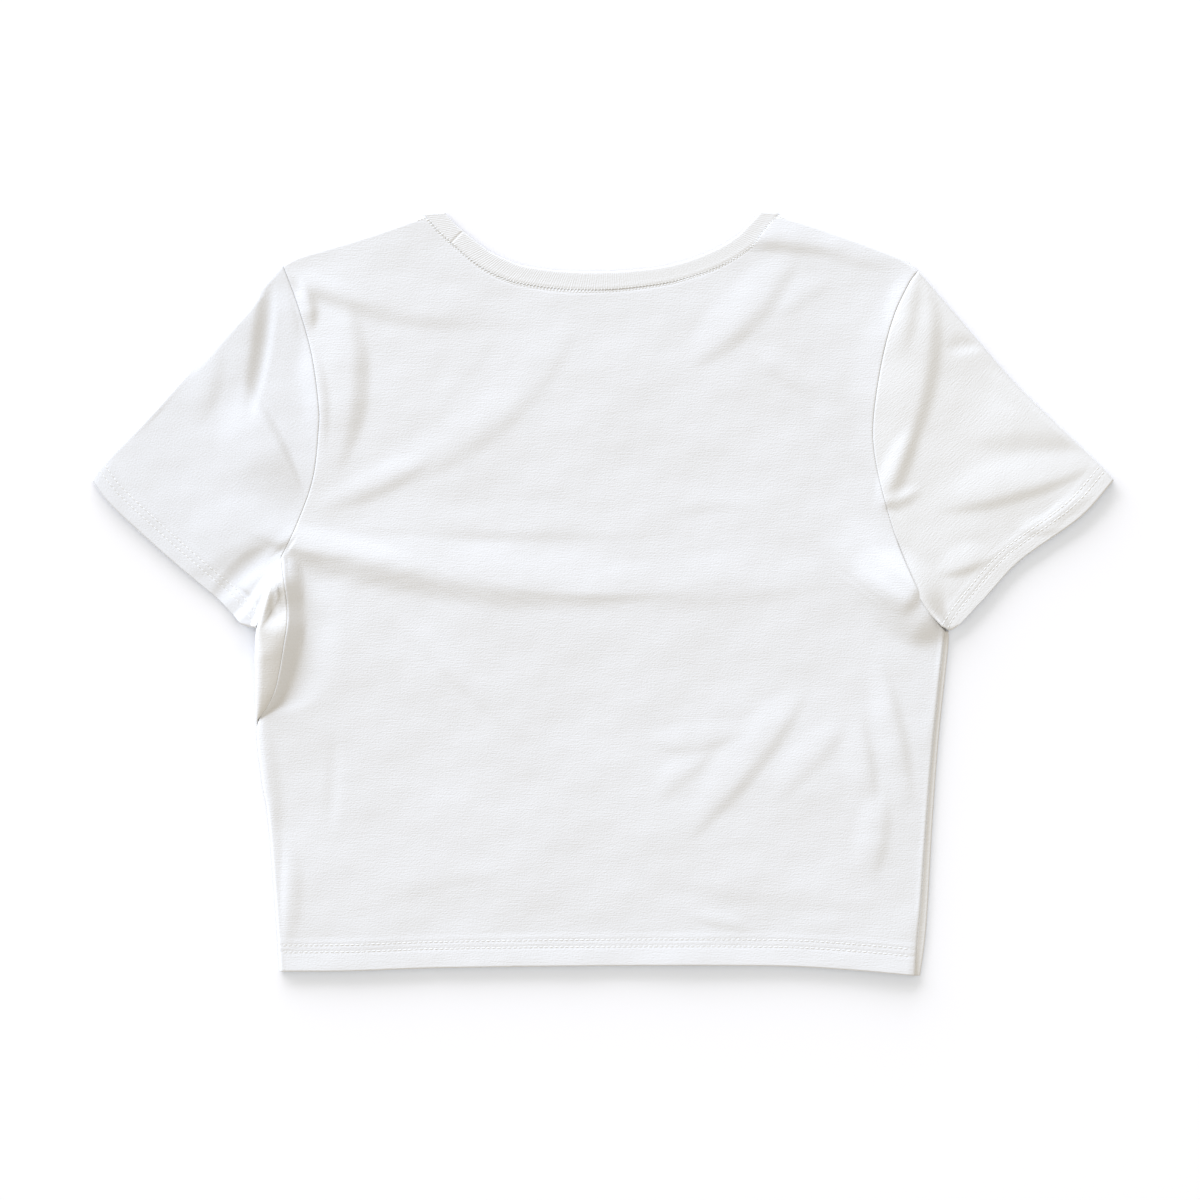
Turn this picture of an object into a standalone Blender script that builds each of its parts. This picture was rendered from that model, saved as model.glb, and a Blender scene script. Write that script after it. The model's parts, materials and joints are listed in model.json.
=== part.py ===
"""A short-sleeved crop top in white cotton jersey, laid flat with its back side up.

X runs across the garment, Y from the hem to the neck and Z up from the surface it lies on.
The origin is the middle of its outline, on that surface. The tables are in millimetres.
Two layers lie on each other: the front panel below, the back panel above. Each sleeve is a
flattened tube, and the neckband is a folded strip that turns over at both neck points.
"""
import math
from collections import namedtuple

import bmesh
import bpy
import numpy as np

# Driving sizes, in millimetres
MM = 0.001              # one millimetre, in metres
WALL = 1.2              # one layer of jersey
SEAM_GAP = 0.3          # clearance between two sewn pieces
SIDE_GAP = 0.3          # clearance between the two layers where they are sewn
LAYER_GAP = 0.8         # clearance between the two layers elsewhere
MAX_HOLLOW = 3.4        # the most the upper layer's inner side stands off the lower layer
HEM_DEPTH = 15.0        # the turned-up hem of the body
CUFF_DEPTH = 11.5       # the turned-up hem of a sleeve
HEM_EXTRA = 0.5         # what a turned-up hem adds to the wall
BAND_WALL = 1.6         # the folded neckband
BAND_GAP = 0.4          # clearance inside the fold where the neckband turns over
SLEEVE_FOLD = 1.6       # outer radius of a sleeve's folded edge
MIN_ROLL = 1.35         # the tightest roll, and the narrowest strip that rolls
ROLL_RIGHT = 2.2        # outer radius where the front panel rolls over the right side
ROLL_LEFT = 2.3         # the same at the left underarm
FLAP_RISE = 1.4         # how far the left flap climbs from its roll to its seam
FLAP_SLOPE = 0.12       # and how steeply
SLEEVE_LIFT = 2.4       # how far the right sleeve stands off the body at the underarm
SLEEVE_GAP = 0.4        # clearance between a sleeve's end and the armhole

FLAP_REACH = 11.0       # how far inside the seam the back panel comes down from the left flap
ROLL_REACH = 14.0       # the same from the roll at the right side
SEAM_REACH = 12.0       # how far inside a seam the layers part
NECK_REACH = 30.0       # how far from the neck points the back clears the band below
EDGE_FADE = 9.0         # how far inside an edge a fold dies away
TOP_SLACK = 4.0         # how much nearer it comes to the shoulder and neck seams
FAR = 1000.0            # farther than any edge

# How the right sleeve's lift begins down its armhole and ends toward its cuff, as shares
LIFT_FROM = 0.72
LIFT_FULL = 0.92
LIFT_END = 0.4

# A fold's crest: the share of its length over which each end dies away, and what is left there
CREST_TAPER = 0.22
CREST_END = 0.25

# Cells of the meshes
SHOULDER_CELLS = 10
NECK_CELLS = 22
SIDE_CELLS = 24
ARMHOLE_CELLS = 24
UNDERARM_CELLS = 5      # the stretch of the left sleeve that bunches over the side
LOWER_ARMHOLE_CELLS = 14
FRONT_SHOULDER_CELLS = 4
FRONT_NECK_CELLS = 16
ROLL_CELLS = 4
RUN_CELLS = 2
FOLD_CELLS = 3
SLEEVE_ROWS = (0, 0.08, 0.14, 0.20, 0.26, 0.34, 0.42, 0.50, 0.58, 0.66, 0.74, 0.82, 0.90, 0.96, 1)
EDGE_CROWDING = 1.35    # how much closer together the cells lie at the armhole
HEM_STEP = 1.2          # width of the step where the turned-up hem ends
LIFT_FADE_ROWS = 4      # rows above the underarm over which the side's lift dies away
LINE_STEPS = 12         # steps of a smooth line between two of its points
TABLE_STEPS = 400
CREST_STEPS = 12
SHARP_ANGLE = 50        # degrees past which an edge is shaded sharp

WHITE = (0.86, 0.86, 0.87)
SHADED_WHITE = (0.85, 0.84, 0.83)
COOL_WHITE = (0.86, 0.87, 0.88)
WARM_WHITE = (0.87, 0.86, 0.85)
BAND_WHITE = (0.87, 0.87, 0.87)
JERSEY_ROUGHNESS = 0.85
RIB_ROUGHNESS = 0.8

LeftRow = namedtuple("LeftRow", "y edge seam_x seam_y")
RightRow = namedtuple("RightRow", "y edge seam")
NeckRow = namedtuple("NeckRow", "seam_x seam_y free_x free_y")
Fold = namedtuple("Fold", "x0 y0 x1 y1 x2 y2 height left right")
BandStation = namedtuple("BandStation", "along half")

# The folded band's section from its seam to its folded edge: where along it, and half its thickness
BAND_SECTION = [BandStation(*row) for row in (
    (0.00, 0.80),
    (0.45, 0.80),
    (0.86, 0.80),
    (0.97, 0.48),
    (1.00, 0.25))]

# Left side from the hem up: the outer edge and the side seam, which climbs over a flap
LEFT_SIDE = [LeftRow(*row) for row in (
    (-217.2, -185.8, -185.8, -217.2),
    (-176.4, -188.7, -188.7, -176.4),
    (-130.4, -192.5, -192.5, -130.4),
    (-107.4, -196.2, -196.2, -107.4),
    (-77.5, -199.1, -199.1, -77.5),
    (-66.0, -199.6, -192.7, -64.9),
    (-55.7, -199.8, -187.9, -53.9),
    (-38.4, -199.9, -183.5, -31.5),
    (-29.2, -199.8, -181.2, -10.8),
    (-20.0, -199.1, -185.0, 20.8))]

# Right side from the hem up: the front panel rolls over the edge to the side seam
RIGHT_SIDE = [RightRow(*row) for row in (
    (-219.6, 182.2, 178.4),
    (-199.4, 185.0, 179.8),
    (-176.4, 186.8, 181.8),
    (-130.4, 189.4, 184.9),
    (-84.4, 192.8, 188.8),
    (-32.7, 198.2, 194.2),
    (-21.8, 198.5, 195.8))]

# Lower edge of the hem, left to right
HEM = ((-185.8, -217.2), (-145.6, -216.9), (-93.8, -215.1), (-1.8, -213.8),
       (95.9, -213.8), (141.9, -216.1), (182.2, -219.6))

# Armhole seams from the underarm to the shoulder
LEFT_ARMHOLE = ((-185.0, 20.8), (-176.6, 38.1), (-166.9, 65.1), (-163.4, 93.8), (-163.4, 108.2),
                (-167.4, 137.0), (-175.5, 165.7), (-184.1, 188.7))
LEFT_LOWER_ARMHOLE = ((-199.1, -20.0), (-190.0, 3.0), (-180.0, 28.0), (-168.0, 62.0), (-163.4, 100.0),
                      (-167.4, 137.0), (-175.5, 165.7), (-184.1, 188.7))
RIGHT_ARMHOLE = ((196.0, -20.0), (185.0, -6.8), (174.1, 16.2), (164.9, 42.1), (156.9, 73.7),
                 (155.1, 98.0), (159.7, 131.2), (166.6, 158.2), (175.3, 177.2), (181.0, 185.2))

# Shoulders, armhole to neck
LEFT_SHOULDER = ((-184.1, 188.7), (-174.3, 193.9), (-139.8, 204.2), (-102.5, 216.8))
RIGHT_SHOULDER = ((100.5, 217.8), (130.4, 208.3), (164.9, 195.6), (173.5, 191.2), (181.0, 185.2))

# Sleeve edges: the upper fold from the shoulder, the lower fold from the underarm, the cuff
LEFT_UPPER_FOLD = ((-184.1, 188.7), (-208.8, 160.5), (-254.8, 108.2), (-286.5, 74.9), (-293.4, 65.1))
LEFT_LOWER_FOLD = ((-199.1, -20.0), (-203.0, -19.6), (-207.0, -18.2))
LEFT_CUFF = ((-293.4, 65.1), (-283.6, 51.9), (-263.5, 32.9), (-240.5, 12.8), (-222.0, -2.5),
             (-214.2, -10.4), (-207.0, -18.2))
RIGHT_UPPER_FOLD = ((181.0, 185.2), (208.0, 154.2), (239.7, 118.0), (282.8, 76.6), (293.4, 65.1))
RIGHT_LOWER_FOLD = ((196.0, -20.0), (199.4, -21.2), (204.0, -18.6))
RIGHT_CUFF = ((293.4, 65.1), (274.2, 43.8), (239.7, 19.1), (219.5, -2.2), (204.0, -18.6))

# Neckline of the back, left to right: the band's seam and its free edge
NECK_BACK = [NeckRow(*row) for row in (
    (-102.5, 216.8, -90.4, 217.6),
    (-93.8, 207.1, -83.5, 210.6),
    (-82.3, 196.2, -74.3, 202.8),
    (-70.8, 187.0, -65.1, 196.4),
    (-47.8, 178.1, -45.0, 188.4),
    (-24.8, 174.9, -23.7, 185.2),
    (-1.8, 174.3, -1.8, 184.7),
    (21.2, 176.1, 19.4, 185.8),
    (44.2, 180.1, 40.7, 189.0),
    (67.2, 188.1, 61.4, 196.2),
    (84.4, 198.5, 75.8, 204.4),
    (93.0, 208.3, 83.8, 212.0),
    (100.5, 217.8, 90.2, 218.7))]

# Neckline of the front, deeper and hidden below the back
NECK_FRONT = [NeckRow(*row) for row in (
    (-102.5, 216.8, -90.4, 217.6),
    (-89.0, 190.0, -79.6, 194.6),
    (-73.0, 162.0, -64.4, 168.0),
    (-54.0, 138.0, -47.4, 146.2),
    (-30.0, 121.5, -26.4, 131.4),
    (-1.0, 115.5, -1.0, 126.0),
    (28.0, 121.5, 24.4, 131.4),
    (52.0, 138.0, 45.4, 146.2),
    (71.0, 162.0, 62.4, 168.0),
    (87.0, 190.0, 77.6, 194.6),
    (100.5, 217.8, 90.2, 218.7))]

# Largest folds of the upper layer: the crest's start, bend and end, its height, and how far
# it reaches to the left and to the right of its run
FOLDS = [Fold(*row) for row in (
    (-178, 27, -80, 20, -20, 2, 2.6, 26, 16),
    (-20, 2, 40, -1, 112, 5, 2.2, 24, 16),
    (-150, 50, -80, 38, 20, 36, 1.4, 14, 14),
    (-156, 58, -62, 92, -16, 174, 2.4, 20, 17),
    (-180, 188, -120, 168, -50, 162, 2.3, 16, 17),
    (-148, 160, -136, 114, -153, 71, 2.6, 13, 20),
    (99, 186, 87, 160, 50, 134, 1.8, 14, 15),
    (91, 138, 108, 122, 122, 110, 1.3, 13, 13),
    (163, 160, 144, 110, 152, 72, 1.2, 15, 15),
    (109, -60, 98, -96, 52, -128, 1.8, 15, 17),
    (28, -81, 50, -86, 74, -79, 1.2, 13, 12),
    (163, -30, 168, -70, 180, -120, 1.5, 11, 11),
    (148, -72, 152, -98, 158, -122, 1.3, 10, 11),
    (-193, -80, -185, -110, -180, -152, 1.4, 9, 9),
    (-174, -140, -173, -168, -176, -194, 1.2, 9, 10),
    (-118, -12, -84, -40, -46, -86, 1.3, 14, 16),
    (-194, 172, -200, 146, -206, 118, 2.6, 15, 13),
    (-205, 121, -190, 100, -170, 62, 1.8, 13, 13),
    (-213, 160, -226, 140, -233, 106, 1.4, 14, 13),
    (172, 178, 186, 140, 162, 52, 2.0, 12, 13),
    (176, 48, 222, 62, 282, 78, 2.2, 15, 15),
    (-184, 22, -196, 14, -205, -4, 6.0, 12, 13))]


def smooth_line(points):
    """A smooth line through the points, as a function of the fraction of its length."""
    points = np.array(points, float)
    before = 2 * points[0] - points[1]
    after = 2 * points[-1] - points[-2]
    ring = np.vstack([before, points, after])
    dense = []
    for a, b, c, d in zip(ring, ring[1:], ring[2:], ring[3:]):
        for t in np.linspace(0, 1, LINE_STEPS, endpoint=False):
            bend = 2 * a - 5 * b + 4 * c - d + t * (3 * (b - c) + d - a)
            dense.append(b + 0.5 * t * (c - a + t * bend))
    dense = np.array(dense + [points[-1]])
    run = np.concatenate([[0], np.cumsum(np.linalg.norm(np.diff(dense, axis=0), axis=1))])

    def at(fraction):
        return np.array([np.interp(fraction * run[-1], run, column) for column in dense.T])
    return at


def smooth_table(rows):
    """A table's columns as smooth functions of its first column."""
    line = smooth_line(rows)
    dense = np.array([line(f) for f in np.linspace(0, 1, TABLE_STEPS)])

    def at(key):
        return np.array([np.interp(key, dense[:, 0], column) for column in dense.T])
    return at


def joined(stretches):
    """One line from several, each with its share of cells, as a function of the cell number."""
    def at(cell):
        for line, cells in stretches[:-1]:
            if cell <= cells:
                return line(cell / cells)
            cell -= cells
        line, cells = stretches[-1]
        return line(cell / cells)
    return at


def reverse(line):
    return lambda fraction: line(1 - fraction)


def patch(bottom, top, left, right, u, v):
    """A point of the flat patch that fills four edges; u runs left to right, v bottom to top."""
    ruled = (1 - v) * bottom(u) + v * top(u) + (1 - u) * left(v) + u * right(v)
    corners = (1 - v) * ((1 - u) * bottom(0) + u * bottom(1)) + v * ((1 - u) * top(0) + u * top(1))
    return ruled - corners


def ease(x):
    """A smooth step from 0 to 1."""
    x = min(max(x, 0.0), 1.0)
    return x * x * (3 - 2 * x)


def toward(point, goal, distance):
    """The point moved that far toward the goal."""
    step = goal - point
    return point + step * distance / np.linalg.norm(step)


def crest_points(fold):
    """Points along a fold's crest, a curve through its start and end, pulled to its bend."""
    start, bend, end = np.array(fold[:6], float).reshape(3, 2)
    shares = np.linspace(0, 1, CREST_STEPS + 1)
    return [(1 - t) ** 2 * start + 2 * t * (1 - t) * bend + t * t * end for t in shares]


CRESTS = [(fold, crest_points(fold)) for fold in FOLDS]


def fold_height(point):
    """How far the folds lift the upper layer at a point of the plan."""
    total = 0.0
    for fold, crest in CRESTS:
        best = None
        for k, (a, b) in enumerate(zip(crest, crest[1:])):
            run = b - a
            along = min(max(np.dot(point - a, run) / np.dot(run, run), 0), 1)
            away = point - a - run * along
            distance = math.hypot(*away)
            if best is None or distance < best[0]:
                best = (distance, run[0] * away[1] - run[1] * away[0], (k + along) / (len(crest) - 1))
        distance, side, along = best
        reach = fold.left if side > 0 else fold.right
        if distance < reach:
            ends = ease(min(along, 1 - along) / CREST_TAPER + CREST_END)
            total += fold.height * (1 - (distance / reach) ** 2) ** 2 * ends
    return total


def make_material(name, colour, roughness):
    material = bpy.data.materials.new(name)
    material.use_nodes = True
    shader = material.node_tree.nodes["Principled BSDF"]
    shader.inputs["Base Color"].default_value = (*colour, 1)
    shader.inputs["Roughness"].default_value = roughness
    shader.inputs["Metallic"].default_value = 0
    return material


def add_wall(name, outer, inner, cells, material):
    """A closed wall from two grids of points: cells name the quads of the grid that are cloth.

    outer and inner give each grid corner's place on the two sides of the cloth. A cell's
    corners run anticlockwise as seen from outside. The rim is closed wherever a cell ends.
    """
    mesh = bpy.data.meshes.new(name)
    bm = bmesh.new()
    used = sorted({corner for cell in cells for corner in cell})
    outside = {corner: bm.verts.new(outer[corner] * MM) for corner in used}
    inside = {corner: bm.verts.new(inner[corner] * MM) for corner in used}
    edges = {(cell[k], cell[(k + 1) % 4]) for cell in cells for k in range(4)}
    for cell in cells:
        bm.faces.new([outside[corner] for corner in cell])
        bm.faces.new([inside[corner] for corner in reversed(cell)])
    for a, b in edges:
        if (b, a) not in edges:
            bm.faces.new([outside[b], outside[a], inside[a], inside[b]])
    bmesh.ops.triangulate(bm, faces=bm.faces[:])
    bm.to_mesh(mesh)
    bm.free()
    mesh.materials.append(material)
    mesh.shade_smooth()
    mesh.set_sharp_from_angle(angle=math.radians(SHARP_ANGLE))
    obj = bpy.data.objects.new(name, mesh)
    bpy.context.collection.objects.link(obj)
    return obj


def grid_cells(columns, rows):
    """The quads of a grid whose corners are named (column, row); both are ranges."""
    return [((i, j), (i + 1, j), (i + 1, j + 1), (i, j + 1)) for i in columns for j in rows]


def ring_cells(around, rows):
    """The quads of a grid that closes on itself."""
    steps = [(i, (i + 1) % around) for i in range(around)]
    return [((i, j), (k, j), (k, j + 1), (i, j + 1)) for i, k in steps for j in range(rows)]


def spread(cells, near_start):
    """Stations from 0 to 1, close together at the start or at the end."""
    stations = [(k / cells) ** EDGE_CROWDING for k in range(cells + 1)]
    return stations if near_start else [1 - s for s in reversed(stations)]


# The two sides as smooth functions of the height above the hem
left_side = smooth_table([(row.y, row.edge, row.seam_x, row.seam_y) for row in LEFT_SIDE])
right_side = smooth_table([(row.y, row.edge, row.seam) for row in RIGHT_SIDE])


def side_heights(table):
    """Heights of the side rows: the hem's own two rows, then even steps to the underarm."""
    low, high = table[0].y, table[-1].y
    top_of_hem = (low + HEM_DEPTH - HEM_STEP / 2, low + HEM_DEPTH + HEM_STEP / 2)
    return [low, *top_of_hem, *np.linspace(top_of_hem[1], high, SIDE_CELLS - 1)[1:]]


LEFT_HEIGHTS = side_heights(LEFT_SIDE)
RIGHT_HEIGHTS = side_heights(RIGHT_SIDE)
SIDE_SHARE = 0.49       # share of the body's height below the underarm
SHOULDER_SHARE = 0.22   # share of its width in each shoulder


def body_rows(armhole_cells):
    """The rows of a body panel, each as its share of the height from the hem to the shoulder."""
    low, high = LEFT_HEIGHTS[0], LEFT_HEIGHTS[-1]
    below = [SIDE_SHARE * (y - low) / (high - low) for y in LEFT_HEIGHTS]
    above = [SIDE_SHARE + (1 - SIDE_SHARE) * k / armhole_cells for k in range(1, armhole_cells + 1)]
    return below + above


def roll_section(edge, seam, radius, rise):
    """How the front panel rolls over its side, as a section from the flat part to the seam.

    Gives the outer and inner point of each station. Where the seam lies at the edge there is
    no roll, and the section is the edge alone.
    """
    width = np.linalg.norm(seam - edge)
    if width < MIN_ROLL:
        return [(np.array((*edge, 0.0)), np.array((*edge, WALL)))]
    inward = (seam - edge) / width
    radius = min(radius, max(width - SEAM_GAP, MIN_ROLL))
    run = max(width - radius - SEAM_GAP / 2, SEAM_GAP)
    start = edge + inward * radius
    section = []
    for k in range(ROLL_CELLS + 1):
        angle = math.pi * k / ROLL_CELLS
        out, up = math.sin(angle), 1 - math.cos(angle)
        inner = radius - WALL
        section.append((np.array((*(start - inward * radius * out), radius * up)),
                        np.array((*(start - inward * inner * out), radius + inner * (up - 1)))))
    for k in range(1, RUN_CELLS + 1):
        share = k / RUN_CELLS
        place = start + inward * run * share
        top = 2 * radius + rise * share
        section.append((np.array((*place, top)), np.array((*place, top - WALL))))
    return section


def body_plan(bottom, top, left, right, stations, shares):
    """The plan points of a body panel; left and right give the side points of each row."""
    rows = len(shares) - 1

    def by_share(side, row):
        return lambda share: side({0: 0, 1: rows}.get(share, row))
    plan = {}
    for j, v in enumerate(shares):
        for i, u in enumerate(stations):
            plan[i, j] = patch(bottom, top, by_share(left, j), by_share(right, j), u, v)
    return plan


def left_roll(j):
    y, edge, seam_x, seam_y = left_side(LEFT_HEIGHTS[j])
    width = math.hypot(seam_x - edge, seam_y - y)
    return roll_section(np.array((edge, y)), np.array((seam_x, seam_y)), ROLL_LEFT,
                        min(FLAP_RISE, FLAP_SLOPE * width))


def right_roll(j):
    y, edge, seam = right_side(RIGHT_HEIGHTS[j])
    return roll_section(np.array((edge, y)), np.array((seam, y)), ROLL_RIGHT, 0.0)


def inset(plan, chain, distance):
    """Move the corners of an edge into the panel; the panel lies to the left of the chain."""
    moved = {}
    for k, corner in enumerate(chain):
        before, after = plan[chain[max(k - 1, 0)]], plan[chain[min(k + 1, len(chain) - 1)]]
        run = (after - before) / np.linalg.norm(after - before)
        moved[corner] = plan[corner] + distance * np.array((-run[1], run[0]))
    plan.update(moved)


def build_front(material):
    """The lower layer: flat on the surface, rolled up and over its two sides to their seams."""
    left_rolls = [left_roll(j) for j in range(SIDE_CELLS + 1)]
    right_rolls = [right_roll(j) for j in range(SIDE_CELLS + 1)]
    left_arm = smooth_line([left_rolls[-1][0][0][:2], *LEFT_LOWER_ARMHOLE[1:]])
    right_arm = smooth_line([right_rolls[-1][0][0][:2], *RIGHT_ARMHOLE[1:]])
    rows = SIDE_CELLS + LOWER_ARMHOLE_CELLS

    def side(rolls, arm):
        def at(j):
            return rolls[j][0][0][:2] if j <= SIDE_CELLS else arm((j - SIDE_CELLS) / LOWER_ARMHOLE_CELLS)
        return at
    left, right = side(left_rolls, left_arm), side(right_rolls, right_arm)
    neck = smooth_line([(row.seam_x, row.seam_y) for row in NECK_FRONT])
    top = joined([(smooth_line(LEFT_SHOULDER), FRONT_SHOULDER_CELLS), (neck, FRONT_NECK_CELLS),
                  (smooth_line(RIGHT_SHOULDER), FRONT_SHOULDER_CELLS)])
    columns = 2 * FRONT_SHOULDER_CELLS + FRONT_NECK_CELLS
    hem = smooth_line(HEM)
    reach = (right(0)[0] - HEM[0][0]) / (HEM[-1][0] - HEM[0][0])
    plan = body_plan(lambda s: hem(reach * s), lambda s: top(s * columns), left, right,
                     [i / columns for i in range(columns + 1)], body_rows(LOWER_ARMHOLE_CELLS))
    inset(plan, [(columns, j) for j in range(SIDE_CELLS + 1, rows + 1)], SEAM_GAP / 2)
    inset(plan, [(0, j) for j in range(rows, SIDE_CELLS, -1)], SEAM_GAP / 2)
    inset(plan, [(i, rows) for i in range(columns - FRONT_SHOULDER_CELLS, FRONT_SHOULDER_CELLS - 1, -1)],
          SEAM_GAP / 2)
    outer = {corner: np.array((*xy, 0.0)) for corner, xy in plan.items()}
    inner = {(i, j): np.array((*xy, WALL + (HEM_EXTRA if j <= 1 and 0 < i < columns else 0)))
             for (i, j), xy in plan.items()}
    cells = grid_cells(range(columns), range(rows))
    steps = ROLL_CELLS + RUN_CELLS
    for rolls, edge, way in ((left_rolls, 0, -1), (right_rolls, columns, 1)):
        for j, section in enumerate(rolls):
            for k, (out, into) in enumerate(section[1:], 1):
                outer[edge + way * k, j], inner[edge + way * k, j] = out, into
        first = -steps if way < 0 else columns
        start = next(j for j, section in enumerate(rolls) if len(section) > 1)
        cells += grid_cells(range(first, first + steps), range(start, SIDE_CELLS))
    cells = [tuple(reversed(cell)) for cell in cells]
    return add_wall("front_panel", outer, inner, cells, material)


def build_back(material):
    """The upper layer, from the hem to the shoulders, between the two side seams."""
    rows = SIDE_CELLS + ARMHOLE_CELLS
    left_ends = [left_roll(j)[-1][0][2] for j in range(SIDE_CELLS + 1)]
    right_ends = [right_roll(j)[-1][0][2] for j in range(SIDE_CELLS + 1)]
    left_seams = [left_side(y)[2:] for y in LEFT_HEIGHTS]
    right_seams = [np.array((right_side(y)[2], y)) for y in RIGHT_HEIGHTS]
    left_arm = smooth_line([left_seams[-1], *LEFT_ARMHOLE[1:]])
    right_arm = smooth_line([right_seams[-1], *RIGHT_ARMHOLE[1:]])

    def side(seams, arm):
        def at(j):
            return seams[j] if j <= SIDE_CELLS else arm((j - SIDE_CELLS) / ARMHOLE_CELLS)
        return at
    left, right = side(left_seams, left_arm), side(right_seams, right_arm)
    neck_share = 1 - 2 * SHOULDER_SHARE
    stations = [SHOULDER_SHARE * s for s in spread(SHOULDER_CELLS, True)]
    stations += [SHOULDER_SHARE + neck_share * k / NECK_CELLS for k in range(1, NECK_CELLS)]
    stations += [1 - SHOULDER_SHARE + SHOULDER_SHARE * s for s in spread(SHOULDER_CELLS, False)]
    neck = smooth_line([(row.seam_x, row.seam_y) for row in NECK_BACK])
    top = joined([(smooth_line(LEFT_SHOULDER), SHOULDER_SHARE), (neck, neck_share),
                  (smooth_line(RIGHT_SHOULDER), SHOULDER_SHARE)])
    hem = smooth_line(HEM)
    reach = (right_seams[0][0] - HEM[0][0]) / (HEM[-1][0] - HEM[0][0])
    columns = len(stations) - 1
    plan = body_plan(lambda s: hem(s * reach), top, left, right, stations,
                     body_rows(ARMHOLE_CELLS))
    inset(plan, [(columns, j) for j in range(rows + 1)], SEAM_GAP / 2)
    inset(plan, [(0, j) for j in range(rows, -1, -1)], SEAM_GAP / 2)
    inset(plan, [(i, rows) for i in range(SHOULDER_CELLS + NECK_CELLS, SHOULDER_CELLS - 1, -1)],
          SEAM_GAP / 2)

    def side_lift(ends, j):
        fade = 1 if j <= SIDE_CELLS else ease(1 - (j - SIDE_CELLS) / LIFT_FADE_ROWS)
        return fade * max(ends[min(j, SIDE_CELLS)] - 2 * WALL - SIDE_GAP, 0)
    outer, inner = {}, {}
    for (i, j), xy in plan.items():
        from_left = np.linalg.norm(xy - plan[0, j])
        from_right = np.linalg.norm(xy - plan[columns, j])
        from_top = np.linalg.norm(xy - plan[i, rows])
        hem_extra = HEM_EXTRA if j <= 1 and 0 < i < columns else 0
        to_side = min(from_left, from_right) if j <= SIDE_CELLS else FAR
        below_neck = SHOULDER_CELLS < i < SHOULDER_CELLS + NECK_CELLS
        to_shoulder = FAR if below_neck else from_top
        from_neck = min(np.linalg.norm(xy - neck(0)), np.linalg.norm(xy - neck(1)))
        parted = ease(min(to_side, to_shoulder) / SEAM_REACH) + ease(1 - from_neck / NECK_REACH)
        gap = SIDE_GAP + (LAYER_GAP - SIDE_GAP) * min(parted, 1)
        lift = side_lift(left_ends, j) * ease(1 - from_left / FLAP_REACH)
        lift += side_lift(right_ends, j) * ease(1 - from_right / ROLL_REACH)
        inside = min(from_left, from_right, from_top + TOP_SLACK)
        folds = fold_height(xy) * ease(inside / EDGE_FADE)
        off = gap + lift + folds
        base = WALL + hem_extra
        hollow = min(off, MAX_HOLLOW) if 0 < i < columns else off
        outer[i, j] = np.array((*xy, base + off + WALL + hem_extra))
        inner[i, j] = np.array((*xy, base + hollow))
    return add_wall("back_panel", outer, inner, grid_cells(range(columns), range(rows)), material)


def build_sleeve(name, material, arms, edges, cells, lift):
    """A sleeve as a flattened tube: rings from the armhole to the cuff, round at both folds.

    A ring starts at the upper fold, crosses the upper layer to the lower fold and comes back
    below. arms are the armhole seams of the upper and the lower layer, shoulder first. edges
    are the upper fold, the lower fold and the cuff, and lift raises the upper layer.
    """
    upper_arm, lower_arm = arms
    upper_fold, lower_fold, cuff = (smooth_line(edge) for edge in edges)
    outer, inner = {}, {}
    for j, v in enumerate(SLEEVE_ROWS):
        def layer(arm, u):
            return patch(arm, cuff, upper_fold, lower_fold, u, v)
        across = [layer(upper_arm, u) for u in np.linspace(0, 1, LINE_STEPS + 1)]
        start, end = across[0], across[-1]
        width = sum(np.linalg.norm(b - a) for a, b in zip(across, across[1:]))
        tuck = SLEEVE_FOLD / width
        ring = []
        for k in range(cells + 1):
            u = tuck + (1 - 2 * tuck) * k / cells
            xy = layer(upper_arm, u)
            edge = min(u, 1 - u) * width
            cloth = WALL + (HEM_EXTRA if np.linalg.norm(xy - cuff(u)) < CUFF_DEPTH else 0)
            off = LAYER_GAP + fold_height(xy) * ease(edge / EDGE_FADE) + lift(u, v)
            ring.append(((*xy, WALL + off + cloth), (*xy, WALL + min(off, MAX_HOLLOW))))
        last_out, last_in = ring[-1]
        ring += fold_arc(end, layer(upper_arm, 1 - tuck), last_out[2], last_in[2])
        for k in range(LOWER_ARMHOLE_CELLS + 1):
            u = 1 - tuck - (1 - 2 * tuck) * k / LOWER_ARMHOLE_CELLS
            xy = layer(lower_arm, u)
            ring.append(((*xy, 0.0), (*xy, WALL)))
        first_out, first_in = ring[0]
        ring += reversed(fold_arc(start, layer(upper_arm, tuck), first_out[2], first_in[2]))
        for i, (a, b) in enumerate(ring):
            outer[i, j], inner[i, j] = np.array(a), np.array(b)
    around = len(ring)
    for i in range(around):
        for grid in (outer, inner):
            step = grid[i, 1] - grid[i, 0]
            step[2] = 0
            grid[i, 0] = grid[i, 0] + step * SLEEVE_GAP / np.linalg.norm(step)
    quads = ring_cells(around, len(SLEEVE_ROWS) - 1)
    if (cuff(0) - upper_fold(0))[0] < 0:
        quads = [tuple(reversed(quad)) for quad in quads]
    return add_wall(name, outer, inner, quads, material)


def fold_arc(edge, inside, top_out, top_in):
    """The round of a folded edge, from the upper layer down to the lower one."""
    outward = (edge - inside) / np.linalg.norm(edge - inside)
    points = []
    for k in range(1, FOLD_CELLS + 1):
        angle = math.pi / 2 - math.pi * k / (FOLD_CELLS + 1)
        mid_out, mid_in = top_out / 2, (top_in + WALL) / 2
        out = inside + outward * SLEEVE_FOLD * math.cos(angle)
        into = inside + outward * (SLEEVE_FOLD - WALL) * math.cos(angle)
        points.append(((*out, mid_out * (1 + math.sin(angle))),
                       (*into, mid_in + (top_in - WALL) / 2 * math.sin(angle))))
    return points


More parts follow.
